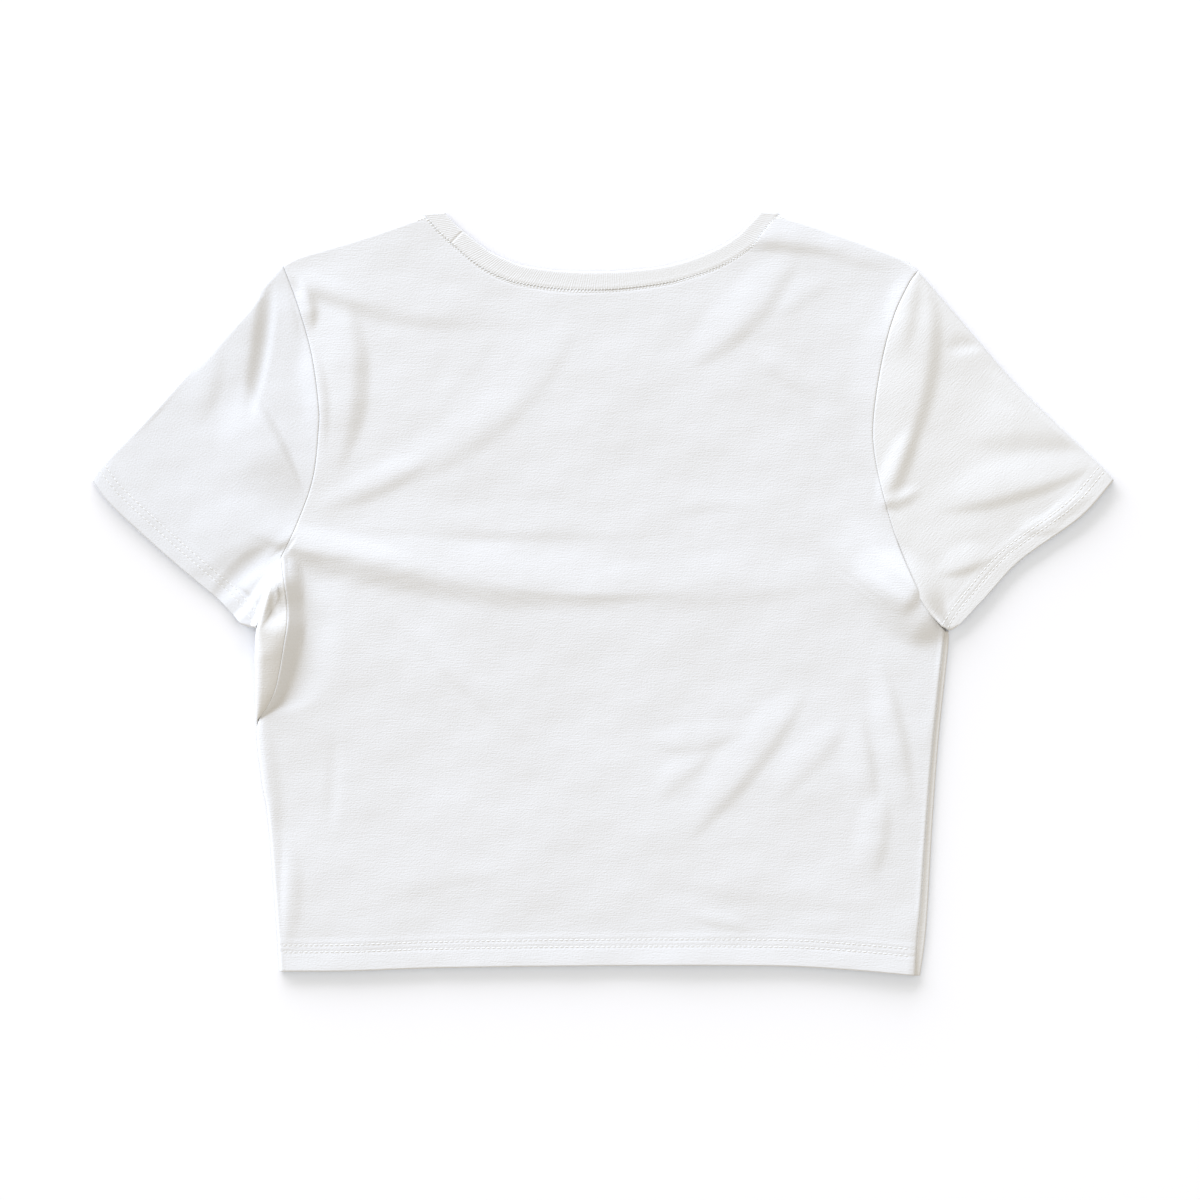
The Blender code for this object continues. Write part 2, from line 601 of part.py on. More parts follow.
def build_neckband(material):
    """The folded band: a closed ring that lies above at the back and below at the front."""
    low = BAND_WALL / 2
    high = low + BAND_WALL + BAND_GAP
    back, front = (NECK_BACK, high, NECK_CELLS), (NECK_FRONT[::-1], low, FRONT_NECK_CELLS)
    ring = []
    for rows, height, cells in (back, front):
        seam = smooth_line([(row.seam_x, row.seam_y) for row in rows])
        free = smooth_line([(row.free_x, row.free_y) for row in rows])
        for k in range(cells + 1):
            ring.append((seam(k / cells), free(k / cells), height, 0.0))
        turn = math.pi / FOLD_CELLS
        mid, radius = (high + low) / 2, (high - low) / 2
        for k in range(1, FOLD_CELLS):
            angle = math.pi / 2 - turn * k if height == high else turn * k - math.pi / 2
            ring.append((seam(1), free(1), mid + radius * math.sin(angle), angle))
    around = len(ring)
    outer, inner = {}, {}
    for i, (seam, free, height, angle) in enumerate(ring):
        flat = angle == 0.0
        above = height > (high + low) / 2
        normal = (0.0, 1.0) if flat and above else (0.0, -1.0)
        if not flat:
            normal = (math.cos(angle), math.sin(angle))
        start = toward(seam, free, SEAM_GAP / 2)
        bulge = 0.0 if flat else (high - low) / 2 * math.cos(angle)
        for j, station in enumerate(BAND_SECTION):
            x, y = start + (free - start) * station.along
            centre = np.array((x, y + bulge, height))
            across = station.half * np.array((0.0, *normal))
            outer[i, j], inner[i, j] = centre + across, centre - across
    return add_wall("neckband", outer, inner, ring_cells(around, len(BAND_SECTION) - 1), material)


def right_sleeve_lift(u, v):
    """The right sleeve stands off the body along the lower part of its armhole."""
    return SLEEVE_LIFT * ease((u - LIFT_FROM) / (LIFT_FULL - LIFT_FROM)) * ease(1 - v / LIFT_END)


def no_lift(u, v):
    return 0.0


def main():
    for obj in list(bpy.data.objects):
        bpy.data.objects.remove(obj, do_unlink=True)
    build_back(make_material("jersey_back", WHITE, JERSEY_ROUGHNESS))
    build_front(make_material("jersey_front", SHADED_WHITE, JERSEY_ROUGHNESS))
    armhole = reverse(smooth_line(LEFT_ARMHOLE))
    bunched = smooth_line([LEFT_ARMHOLE[0], LEFT_LOWER_ARMHOLE[0]])
    left_upper = joined([(armhole, ARMHOLE_CELLS), (bunched, UNDERARM_CELLS)])
    left_cells = ARMHOLE_CELLS + UNDERARM_CELLS
    build_sleeve("sleeve_left", make_material("jersey_left_sleeve", COOL_WHITE, JERSEY_ROUGHNESS),
                 (lambda u: left_upper(u * left_cells), reverse(smooth_line(LEFT_LOWER_ARMHOLE))),
                 (LEFT_UPPER_FOLD, LEFT_LOWER_FOLD, LEFT_CUFF), left_cells, no_lift)
    right_arm = reverse(smooth_line(RIGHT_ARMHOLE))
    build_sleeve("sleeve_right", make_material("jersey_right_sleeve", WARM_WHITE, JERSEY_ROUGHNESS),
                 (right_arm, right_arm),
                 (RIGHT_UPPER_FOLD, RIGHT_LOWER_FOLD, RIGHT_CUFF), ARMHOLE_CELLS, right_sleeve_lift)
    build_neckband(make_material("rib_neckband", BAND_WHITE, RIB_ROUGHNESS))


main()
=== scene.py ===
# %% [markdown]
# # A white crop top, laid flat with its back up
#
# The frame holds the garment's plain solids: a back panel, a front panel, two sleeves and a
# neckband. This lesson dresses each of them in cloth. A short-sleeved jersey top is cut from
# knitted cotton, so it shows soft folds, rolled edges, slubby grain and rows of stitches.
# A cloth simulation could make the folds, but it would put them where it likes. Here each
# fold is a row in a table, so it lies where a real one lay.
#
# Lengths are in millimetres until a mesh is made. X runs across, Y from hem to neck, Z up.

import json
import math
from collections import namedtuple

import bpy
import numpy as np
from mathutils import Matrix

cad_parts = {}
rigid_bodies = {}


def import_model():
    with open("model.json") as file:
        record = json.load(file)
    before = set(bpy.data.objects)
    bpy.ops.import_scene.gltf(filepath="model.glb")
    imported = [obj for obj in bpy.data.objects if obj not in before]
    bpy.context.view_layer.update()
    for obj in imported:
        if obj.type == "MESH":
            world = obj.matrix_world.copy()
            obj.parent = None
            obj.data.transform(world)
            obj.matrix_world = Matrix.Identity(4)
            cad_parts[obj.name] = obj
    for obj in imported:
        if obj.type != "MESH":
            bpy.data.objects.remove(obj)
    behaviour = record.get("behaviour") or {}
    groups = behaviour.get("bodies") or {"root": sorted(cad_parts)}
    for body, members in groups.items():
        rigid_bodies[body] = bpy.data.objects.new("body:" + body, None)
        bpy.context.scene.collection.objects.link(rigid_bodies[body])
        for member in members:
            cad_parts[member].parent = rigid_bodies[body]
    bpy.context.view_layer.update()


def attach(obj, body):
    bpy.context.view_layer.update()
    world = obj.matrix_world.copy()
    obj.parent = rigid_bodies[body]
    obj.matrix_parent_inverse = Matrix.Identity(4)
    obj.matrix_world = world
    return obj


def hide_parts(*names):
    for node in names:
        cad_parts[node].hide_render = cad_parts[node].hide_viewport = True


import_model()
MM = 0.001

# %% [markdown]
# ## Sizes of the cloth
#
# The solids are thicker than real jersey so that they can be handled. The shells made here
# follow their outlines and outer faces but are as thin as real cloth. Only the flap at the
# left underarm stands higher than its solid, because its shade needs it.

# %% Sizes of the cloth
JERSEY = 0.7  # thickness of the shells
WALL = 1.2  # one layer of the solids
LAYER_GAP = 0.8  # clearance between the solids' two layers
TOP = 2 * WALL + LAYER_GAP  # height of the upper layer
HEM_DEPTH = 15.0  # the turned-up hem of the body
CUFF_DEPTH = 11.5  # the turned-up hem of a sleeve
HEM_EXTRA = 0.25  # what a turned-up hem adds to the height
HEM_SLOPE = 5.0  # how gently it comes down again
ROWS_APART = 4.0  # between the two needle rows of a hem
HEM_ROWS = (HEM_DEPTH - ROWS_APART, HEM_DEPTH)
CUFF_ROWS = (CUFF_DEPTH - ROWS_APART, CUFF_DEPTH)
SEAM_GAP = 0.3  # clearance between two solids
TURN = 2 * math.pi
print("one layer:", JERSEY, "mm; the upper one lies", TOP, "mm high")

# %% [markdown]
# ## Smooth lines and patches
#
# An outline needs few points: a curve through them gives the rest. A panel is a patch that
# fills four such curves, so its rows follow the hem and its columns the sides. A grid that
# follows the cut is handy later: a row of stitches keeps its distance from the hem.

# %% Smooth lines and patches
LINE_STEPS = 24  # steps of a smooth line between two of its points
TABLE_STEPS = 800
SPACING_STEPS = 4000  # places that stations are picked from


def apart(places, others):
    """How far apart the places of two grids are."""
    return np.linalg.norm(places - others, axis=-1)


def run_of(line):
    """How long a line of points is up to each of them."""
    return np.concatenate([[0], np.cumsum(apart(line[1:], line[:-1]))])


def spots_on(line, run, places):
    """Points on a line, at places that are measured like its run."""
    return np.stack([np.interp(places, run, column) for column in line.T], -1)


def smooth_line(points):
    """A smooth line through points, as a function of the share of its length."""
    points = np.array(points, float)
    ring = np.vstack([2 * points[0] - points[1], points, 2 * points[-1] - points[-2]])
    t = np.linspace(0, 1, LINE_STEPS, endpoint=False)[:, None]
    dense = []
    for a, b, c, d in zip(ring, ring[1:], ring[2:], ring[3:]):
        bend = 2 * a - 5 * b + 4 * c - d + t * (3 * (b - c) + d - a)
        dense.append(b + 0.5 * t * (c - a + t * bend))
    dense = np.vstack([*dense, points[-1:]])
    run = run_of(dense)

    def at(fraction):
        return spots_on(dense, run, fraction * run[-1])
    at.length = run[-1]
    return at


def smooth_table(rows):
    """A table's columns as smooth functions of its first column."""
    dense = smooth_line(rows)(np.linspace(0, 1, TABLE_STEPS))
    return lambda key: spots_on(dense, dense[:, 0], key)


def joined(*stretches):
    """One line from several, each with its share of the whole."""
    def at(fraction):
        fraction = np.asarray(fraction, float)
        start, out = 0.0, None
        for line, share in stretches:
            here = line(np.clip((fraction - start) / share, 0, 1))
            out = here if out is None else np.where((fraction > start)[..., None], here, out)
            start += share
        return out
    return at


def reverse(line):
    return lambda fraction: line(1 - fraction)


def patch(bottom, top, left, right, u, v):
    """Places on the flat patch between four edges; u runs to the right and v up."""
    a, b = u[..., None], v[..., None]
    ruled = (1 - b) * bottom(u) + b * top(u) + (1 - a) * left(v) + a * right(v)
    low = (1 - a) * bottom(0.0) + a * bottom(1.0)
    high = (1 - a) * top(0.0) + a * top(1.0)
    return ruled - (1 - b) * low - b * high


def ease(x):
    """A smooth step from 0 to 1."""
    x = np.clip(x, 0, 1)
    return x * x * (3 - 2 * x)


def bell(x):
    """1 at 0, and away to 0 on both sides."""
    return np.exp(-x * x)


def stations(length, coarse, fine, low_reach, high_reach, keep=()):
    """Shares of a length, closer together near its ends; those in keep are among them."""
    place = np.linspace(0, length, SPACING_STEPS)
    near = np.minimum(place / low_reach, (length - place) / high_reach)
    count = np.cumsum(1 / (fine + (coarse - fine) * ease(near - 1)))
    count -= count[0]
    found = np.interp(np.linspace(0, count[-1], int(count[-1] * place[1]) + 1), count, place) / length
    for goal in keep:
        found[np.abs(found - goal).argmin()] = goal
    return found


# %% [markdown]
# ## The cut
#
# These outlines are the solids' own, so every shell sits where its solid is; only the right
# side seam and the neckband's were read again and moved by a millimetre. The left side seam
# climbs inward below the arm, because the front was folded over there. The right one lies a
# little inside the edge, because the front rolls round it.

# %% The cut
def table(columns, *rows):
    """Rows of numbers whose columns have names."""
    kind = namedtuple("Row", columns)
    return [kind(*row) for row in rows]


LEFT_SIDE = table(
    "y edge seam_x seam_y",
    (-217.2, -185.8, -185.8, -217.2),
    (-176.4, -188.7, -188.7, -176.4),
    (-130.4, -192.5, -192.5, -130.4),
    (-107.4, -196.2, -196.2, -107.4),
    (-77.5, -199.1, -199.1, -77.5),
    (-66.0, -199.6, -192.7, -64.9),
    (-55.7, -199.8, -187.9, -53.9),
    (-38.4, -199.9, -183.5, -31.5),
    (-29.2, -199.8, -181.2, -10.8),
    (-20.0, -199.1, -185.0, 20.8))
RIGHT_SIDE = table(
    "y edge seam",
    (-219.6, 182.2, 179.0),
    (-199.4, 185.0, 180.6),
    (-176.4, 186.8, 182.8),
    (-130.4, 189.4, 186.0),
    (-84.4, 192.8, 189.8),
    (-32.7, 198.2, 195.2),
    (-21.8, 198.5, 196.2))
HEM = ((-185.8, -217.2), (-145.6, -216.9), (-93.8, -215.1), (-1.8, -213.8),
       (95.9, -213.8), (141.9, -216.1), (182.2, -219.6))
LEFT_ARMHOLE = ((-185.0, 20.8), (-176.6, 38.1), (-166.9, 65.1), (-163.4, 93.8), (-163.4, 108.2),
                (-167.4, 137.0), (-175.5, 165.7), (-184.1, 188.7))
LEFT_LOWER_ARMHOLE = ((-199.1, -20.0), (-190.0, 3.0), (-180.0, 28.0), (-168.0, 62.0),
                      (-163.4, 100.0), *LEFT_ARMHOLE[-3:])
RIGHT_ARMHOLE = ((196.0, -20.0), (185.0, -6.8), (174.1, 16.2), (164.9, 42.1), (156.9, 73.7),
                 (155.1, 98.0), (159.7, 131.2), (166.6, 158.2), (175.3, 177.2), (181.0, 185.2))
LEFT_SHOULDER = ((-184.1, 188.7), (-174.3, 193.9), (-139.8, 204.2), (-102.5, 216.8))
RIGHT_SHOULDER = ((100.5, 217.8), (130.4, 208.3), (164.9, 195.6), (173.5, 191.2), (181.0, 185.2))
LEFT_UPPER_FOLD = ((-184.1, 188.7), (-208.8, 160.5), (-254.8, 108.2), (-286.5, 74.9),
                   (-293.4, 65.1))
LEFT_LOWER_FOLD = ((-199.1, -20.0), (-203.0, -19.6), (-207.0, -18.2))
LEFT_CUFF = ((-293.4, 65.1), (-283.6, 51.9), (-263.5, 32.9), (-240.5, 12.8), (-222.0, -2.5),
             (-214.2, -10.4), (-207.0, -18.2))
RIGHT_UPPER_FOLD = ((181.0, 185.2), (208.0, 154.2), (239.7, 118.0), (282.8, 76.6), (293.4, 65.1))
RIGHT_LOWER_FOLD = ((196.0, -20.0), (199.4, -21.2), (204.0, -18.6))
RIGHT_CUFF = ((293.4, 65.1), (274.2, 43.8), (239.7, 19.1), (219.5, -2.2), (204.0, -18.6))
NECK_BACK = table(
    "seam_x seam_y free_x free_y",
    (-102.5, 216.8, -90.4, 217.6),
    (-93.8, 207.1, -83.5, 210.6),
    (-82.3, 197.0, -74.3, 203.2),
    (-70.8, 187.9, -64.6, 196.0),
    (-59.3, 181.9, -54.6, 191.4),
    (-47.8, 178.2, -45.0, 188.0),
    (-24.8, 174.9, -23.7, 185.2),
    (-1.8, 174.3, -1.8, 184.7),
    (21.2, 176.1, 19.4, 185.8),
    (44.2, 180.1, 40.7, 189.0),
    (67.2, 188.1, 61.4, 196.2),
    (84.4, 198.5, 75.8, 204.4),
    (93.0, 208.3, 83.8, 212.0),
    (100.5, 217.8, 90.2, 218.7))
NECK_FRONT = table(
    "seam_x seam_y free_x free_y",
    (-102.5, 216.8, -90.4, 217.6),
    (-89.0, 190.0, -79.6, 194.6),
    (-73.0, 162.0, -64.4, 168.0),
    (-54.0, 138.0, -47.4, 146.2),
    (-30.0, 121.5, -26.4, 131.4),
    (-1.0, 115.5, -1.0, 126.0),
    (28.0, 121.5, 24.4, 131.4),
    (52.0, 138.0, 45.4, 146.2),
    (71.0, 162.0, 62.4, 168.0),
    (87.0, 190.0, 77.6, 194.6),
    (100.5, 217.8, 90.2, 218.7))


def neck_seam(rows):
    """The line along which a panel is sewn to the neckband."""
    return smooth_line([row[:2] for row in rows])


left_side, right_side = smooth_table(LEFT_SIDE), smooth_table(RIGHT_SIDE)
hem_line = smooth_line(HEM)
print("hem:", round(hem_line.length), "mm; armholes:",
      round(smooth_line(LEFT_ARMHOLE).length), "and", round(smooth_line(RIGHT_ARMHOLE).length), "mm")

# %% [markdown]
# ## Creases, one by one
#
# A crease is a soft ridge or trough along a curved run. Each row of the table gives the
# start, the middle and the end of its run, its height, and how far it reaches to the left and
# to the right of the run. A short reach makes a steep side, which is what turns dark where
# it faces away from the window. The places were read off a ruler laid over the picture, and
# the heights were set one crease at a time, until its shade looked right. The solids have
# the largest of these folds too, more simply.

# %% The table of creases
CREASE = "x0 y0 xm ym x1 y1 height left right"  # its columns
CREASES = table(
    CREASE,
    # from the left underarm across the back
    (-215, 42, -85, 6, 64, 3, 2.0, 30, 9),
    (-206, 37, -150, 20, -70, 4, 1.5, 16, 8),
    (-30, -3, 60, 2, 150, 10, 0.5, 24, 12),
    (-172, 41, -60, 37, 44, 36, 0.5, 18, 8),
    # from the underarm up to the neck
    (-168, 56, -72, 92, -8, 170, 0.55, 20, 11),
    (-170, 48, -130, 62, -92, 84, 0.6, 12, 8),
    (-94, 108, -80, 128, -62, 150, 0.2, 12, 8),
    # below the left shoulder
    (-192, 190, -125, 165, -38, 158, 0.9, 22, 11),
    (-184, 184, -160, 174, -128, 164, 0.6, 10, 7),
    (-175, 182, -169, 166, -168, 150, 1.7, 5, 8),
    (-152, 176, -145, 120, -158, 64, 2.3, 12, 34),
    (-171, 148, -163, 118, -161, 76, 0.9, 6, 12),
    # below the right shoulder
    (114, 202, 82, 159, 42, 128, 1.0, 11, 20),
    (132, 182, 114, 171, 96, 159, 0.35, 8, 12),
    (78, 200, 104, 203, 138, 195, 1.5, 16, 8),
    (116, 202, 142, 196, 170, 186, 0.8, 12, 9),
    (84, 143, 103, 128, 123, 112, 0.5, 12, 8),
    (118, 112, 134, 92, 152, 66, 0.4, 14, 9),
    (38, 44, 66, 53, 98, 44, 0.25, 10, 7),
    # on the lower half of the back
    (120, -48, 85, -97, 38, -150, 1.0, 9, 20),
    (142, -72, 118, -96, 90, -126, 0.45, 9, 14),
    (24, -84, 52, -86, 86, -76, 0.6, 14, 7),
    (66, -88, 46, -103, 27, -122, 0.35, 7, 12),
    (-136, 1, -86, -46, -36, -92, 0.45, 14, 6),
    (-148, -1, -132, -32, -114, -62, 0.3, 12, 7),
    (14, -160, 95, -170, 170, -178, 0.5, 22, 12),
    (46, -184, 66, -188, 90, -194, 0.3, 7, 5),
    (-136, -181, -92, -164, -48, -160, 0.25, 14, 8),
    # down the left side
    (-198, -60, -193, -108, -188, -162, 0.9, 9, 5),
    (-182, -136, -180, -172, -184, -210, 0.8, 9, 6),
    (-153, -75, -155, -108, -157, -146, -0.3, 6, 6),
    # down the right side
    (158, -36, 168, -80, 177, -124, 1.3, 7, 15),
    (147, -70, 151, -98, 156, -126, 0.9, 6, 16),
    (160, -112, 158, -138, 152, -168, 0.9, 8, 16),
    # on the left sleeve
    (-197, 188, -203, 146, -209, 98, 1.9, 8, 40),
    (-190, 186, -193, 146, -204, 92, -1.2, 3, 9),
    (-209, 124, -190, 91, -171, 52, 2.4, 5, 34),
    (-222, 148, -226, 122, -234, 94, 0.7, 9, 18),
    (-184, 176, -179, 160, -176, 146, 0.5, 4, 8),
    (-282, 72, -274, 54, -262, 34, -0.4, 6, 6),
    # its bunched underarm: the cloth above it, the fold beside it, and the bunch itself
    (-180, 44, -212, 28, -248, 8, 0.9, 12, 30),
    (-185, 27, -207, 13, -230, -14, -1.3, 10, 8),
    (-196, -12, -202, -4, -213, 6, -1.0, 1.5, 3),
    # on the right sleeve
    (182, 186, 184, 128, 159, 52, 2.4, 10, 44),
    (181, 100, 169, 72, 157, 42, 1.6, 8, 10),
    (181, 188, 174, 162, 172, 136, 1.3, 8, 14),
    (194, 139, 208, 141, 224, 143, -0.9, 9, 3),
    (220, 130, 232, 118, 248, 104, 0.4, 6, 9),
    (184, 48, 236, 59, 292, 79, 1.4, 22, 8),
    (204, 86, 245, 94, 290, 86, 1.3, 36, 14),
    (250, 38, 266, 48, 284, 62, 0.5, 7, 5),
    (236, 37, 250, 37, 266, 39, 0.5, 9, 5),
    (190, 12, 208, 16, 228, 25, 1.0, 14, 6),
    (158, 51, 170, 54, 186, 62, 1.1, 6, 5))
# A dent in the folded flap, where the bunched underarm presses on it, and a soft ridge
FLAP_DENTS = table(
    CREASE,
    (-189, 3, -190, -8, -197, -21, -5.0, 15, 3.5),
    (-194, 18, -192, 6, -189, -6, 0.8, 9, 4))
DENTS_ABOVE = 2.5  # dents start where the flap is higher than this
# The back swells beside the right sleeve's underarm and drops off toward it
UNDERARM = table(
    CREASE,
    (171, -29, 185, -11, 206, 10, 4.4, 75, 19),
    (169, -14, 176, 0, 188, 14, 2.2, 40, 9))
CREST_STEPS = 12
CREST_TAPER = 0.42  # share of a run over which each end dies away
CREST_POINT = 0.55  # how narrow a crease gets at its ends, as a share of its reach

# Slow swells all over: direction in degrees, wavelength, height and phase
SWELLS = table(
    "heading wave height phase",
    (12, 96, 0.16, 0.4), (104, 121, 0.18, 2.1), (58, 67, 0.10, 4.0), (147, 53, 0.08, 1.2),
    (83, 38, 0.06, 5.1), (31, 29, 0.045, 3.3), (118, 23, 0.035, 0.9), (72, 17.3, 0.022, 2.7),
    (160, 13.1, 0.014, 4.4), (97, 10.7, 0.012, 1.8), (45, 8.3, 0.008, 5.6))


def crease_run(row):
    """Points along a crease, from its start through its middle to its end."""
    start, middle, end = np.array(row[:6], float).reshape(3, 2)
    bend = 2 * middle - (start + end) / 2
    t = np.linspace(0, 1, CREST_STEPS + 1)[:, None]
    return (1 - t) ** 2 * start + 2 * t * (1 - t) * bend + t * t * end


def crease_height(plan, rows=CREASES, swells=SWELLS):
    """How far creases and swells lift the cloth at each place of the plan."""
    places = plan.reshape(-1, 2)
    total = np.zeros(len(places))
    for row in rows:
        run = crease_run(row)
        room = max(row.left, row.right)
        near = np.all((places > run.min(0) - room) & (places < run.max(0) + room), axis=1)
        step = np.diff(run, axis=0)
        offset = places[near][:, None] - run[:-1]
        along = np.clip((offset * step).sum(-1) / (step * step).sum(-1), 0, 1)
        away = offset - along[..., None] * step
        best = np.linalg.norm(away, axis=-1).argmin(1)
        pick = np.arange(len(best)), best
        away, step = away[pick], step[best]
        side = step[:, 0] * away[:, 1] - step[:, 1] * away[:, 0]
        t = (best + along[pick]) / CREST_STEPS
        ends = ease(np.minimum(t, 1 - t) / CREST_TAPER)
        reach = np.where(side > 0, row.left, row.right) * (CREST_POINT + (1 - CREST_POINT) * ends)
        share = np.linalg.norm(away, axis=1) / reach
        total[near] += row.height * (1 - np.minimum(share, 1) ** 2) ** 2 * ends
    for swell in swells:
        way = math.radians(swell.heading)
        along = places @ np.array((math.cos(way), math.sin(way)))
        total += swell.height * np.sin(TURN * along / swell.wave + swell.phase)
    return total.reshape(plan.shape[:-1])


print("creases:", len(CREASES), "swells:", len(SWELLS))

# %% [markdown]
# ## From grids to a shell
#
# Solidify could thicken a sheet, but its rim would be a flat cut. Jersey is round at a cut
# or folded edge, so the shell is made from two grids with a rounded rim between them. Each
# point keeps its place on the cut piece, in millimetres: the knit is drawn there, so the
# grain turns with the sleeve.

# %% From grids to a shell
RIM = 0.18  # how far a rim bulges, as a share of the cloth's thickness


def unit(vectors):
    """The same directions, all one long."""
    return vectors / np.maximum(np.linalg.norm(vectors, axis=-1, keepdims=True), 1e-9)


def put(name, data):
    """A new object in the scene."""
    thing = bpy.data.objects.new(name, data)
    bpy.context.scene.collection.objects.link(thing)
    return thing


def add_mesh(name, points, faces, material):
    """A smooth mesh object from points in millimetres."""
    mesh = bpy.data.meshes.new(name)
    mesh.from_pydata((points * MM).tolist(), [], faces.tolist())
    mesh.materials.append(material)
    mesh.shade_smooth()
    return put(name, mesh)


def cloth_area(piece):
    """Square metres of cloth in a shell, which has two faces."""
    return sum(polygon.area for polygon in piece.data.polygons) / 2


def cloth_shell(name, outer, inner, cut, material, around=False, flip=False, cells=None):
    """A closed shell from two grids of points; outer is the face side of the cloth.

    around joins the last column to the first, flip is for a grid seen from its back, and
    cells says which quads of the grid are cloth.
    """
    rows, columns = outer.shape[:2]
    size = rows * columns
    number = np.arange(size).reshape(rows, columns)
    if around:
        number = np.hstack([number, number[:, :1]])
    quads = np.stack([number[:-1, :-1], number[:-1, 1:], number[1:, 1:], number[1:, :-1]], -1)
    quads = (quads if cells is None else quads[cells]).reshape(-1, 4)
    if flip:
        quads = quads[:, ::-1]
    outer, inner, cut = (grid.reshape(size, -1) for grid in (outer, inner, cut))
    edges = np.vstack([quads[:, [k, (k + 1) % 4]] for k in range(4)])
    rim = edges[~np.isin(edges @ (size, 1), edges @ (1, size))]
    middle, normal = (outer + inner) / 2, unit(outer - inner)
    side = unit(np.cross(middle[rim[:, 1]] - middle[rim[:, 0]], normal[rim[:, 0]]))
    away = np.zeros_like(middle)
    for end in (0, 1):
        np.add.at(away, rim[:, end], side)
    edge = np.unique(rim)
    bulge = middle[edge] + unit(away[edge]) * apart(outer, inner)[edge][:, None] * RIM
    place = np.zeros(size, int)
    place[edge] = 2 * size + np.arange(len(edge))
    a, b = rim.T
    faces = np.vstack([quads, quads[:, ::-1] + size,
                       np.stack([b, a, place[a], place[b]], -1),
                       np.stack([place[b], place[a], a + size, b + size], -1)])
    used, faces = np.unique(faces, return_inverse=True)
    faces = faces.reshape(-1, 4)
    piece = add_mesh(name, np.vstack([outer, inner, bulge])[used], faces, material)
    cut = np.vstack([cut, cut, cut[edge]])[used]
    cut = np.hstack([cut, np.zeros((len(cut), 1))]).astype(np.float32)
    piece.data.attributes.new("cut", "FLOAT_VECTOR", "POINT").data.foreach_set("vector", cut.ravel())
    print(f"{name}: {2 * len(faces)} triangles, {cloth_area(piece):.4f} square metres")
    return piece


def dress(piece, nodes):
    """Puts a piece on the garment's one body, in place of the solids that it covers."""
    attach(piece, "root")
    if nodes:
        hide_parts(*nodes)


# %% [markdown]
# ## Materials
#
# Jersey is knitted cotton: matt, a little fuzzy, and never quite even, because slubs in the
# yarn run along the knitted rows. So it gets a high roughness, a touch of sheen, and a bump
# made of two noises in the cut piece's own millimetres: a long, thin one along the rows, and
# a fine one for the stitches. Its colour barely changes: the folds do the work. Rib and thread
# are the same cotton, so the same function makes them.

# %% Colour and node helpers
def colour(hex_code):
    """An sRGB hex colour as linear light."""
    parts = [int(hex_code[k:k + 2], 16) / 255 for k in (0, 2, 4)]
    linear = [c / 12.92 if c <= 0.04045 else ((c + 0.055) / 1.055) ** 2.4 for c in parts]
    return (*linear, 1.0)


def add(tree, kind, inputs=(), **settings):
    """Adds a node; settings are its properties, inputs are values or the outputs that feed it."""
    node = tree.nodes.new(kind)
    for name, value in settings.items():
        setattr(node, name, value)
    for name, value in dict(inputs).items():
        if isinstance(value, bpy.types.NodeSocket):
            tree.links.new(value, node.inputs[name])
        else:
            node.inputs[name].default_value = value
    return node


def matt(name, sockets):
    """A material whose shader has these values in its sockets, and that shader."""
    material = bpy.data.materials.new(name)
    material.use_nodes = True
    shader = material.node_tree.nodes["Principled BSDF"]
    for socket, value in sockets.items():
        shader.inputs[socket].default_value = value
    return material, shader


# %% Cotton jersey, rib and thread
# Patterns on the cut piece: the size of a patch, and the share of the bump that it makes
Pattern = namedtuple("Pattern", "wide tall detail roughness relief")
# A slub lies along the knitted row; a real one is a row or two tall, 0.5 to 1 mm
SLUB = Pattern(9.0, 0.9, 3.0, 0.6, 0.8)
# A stitch is drawn about twice as coarse as a real one, 0.6 mm, so that it shows
KNIT = Pattern(1.1, 1.1 / 1.3, 1.0, 0.5, 0.95)
RELIEF = 0.16  # height of the bump


def cotton(name, base, grain):
    """Matt cotton; base and grain are two close whites."""
    material, shader = matt(name, {"Roughness": 0.92, "Specular IOR Level": 0.2,
                                   "Sheen Weight": 0.08, "Sheen Roughness": 0.6})
    tree = material.node_tree
    place = add(tree, "ShaderNodeAttribute", attribute_name="cut").outputs["Vector"]
    height, noises = 0.0, []
    for pattern in (SLUB, KNIT):
        spot = add(tree, "ShaderNodeVectorMath", {0: place, 1: (1 / pattern.wide, 1 / pattern.tall, 1)},
                   operation="MULTIPLY")
        noise = add(tree, "ShaderNodeTexNoise",
                    {"Vector": spot.outputs[0], "Scale": 1.0, "Detail": pattern.detail,
                     "Roughness": pattern.roughness})
        noises.append(noise.outputs["Fac"])
        height = add(tree, "ShaderNodeMath", {0: noises[-1], 1: pattern.relief, 2: height},
                     operation="MULTIPLY_ADD").outputs[0]
    tint = add(tree, "ShaderNodeMix", {"Factor": noises[0], "A": colour(grain), "B": colour(base)},
               data_type="RGBA")
    tree.links.new(tint.outputs["Result"], shader.inputs["Base Color"])
    bump = add(tree, "ShaderNodeBump", {"Height": height, "Strength": 1.0, "Distance": RELIEF * MM})
    tree.links.new(bump.outputs["Normal"], shader.inputs["Normal"])
    return material


# Five whites that differ a little, and a brighter one for the thread
jersey_back = cotton("cotton_jersey_back", "e2e2e4", "dcdddf")  # cool and even
# painted shade: this warmer white stands in for the warm shade on the front's rolled side strip
jersey_front_painted_shade = cotton("cotton_jersey_front_painted_shade", "dfdedd", "dad9d8")  # a warmer side strip
# painted light: this bluer white stands in for the cool window's tint on the left sleeve's lit slopes
jersey_left_painted_light = cotton("cotton_jersey_left_sleeve_painted_light", "e1e2e5", "dcdde0")  # the bluest
jersey_right = cotton("cotton_jersey_right_sleeve", "e3e3e4", "dddddd")  # nearly neutral
rib = cotton("cotton_rib_neckband", "e2e2e3", "dedede")  # neutral and quiet
thread = cotton("cotton_thread", "efefee", "ececeb")  # catches the light
print("materials:", sorted(m.name for m in bpy.data.materials if m.name.startswith("cotton")))

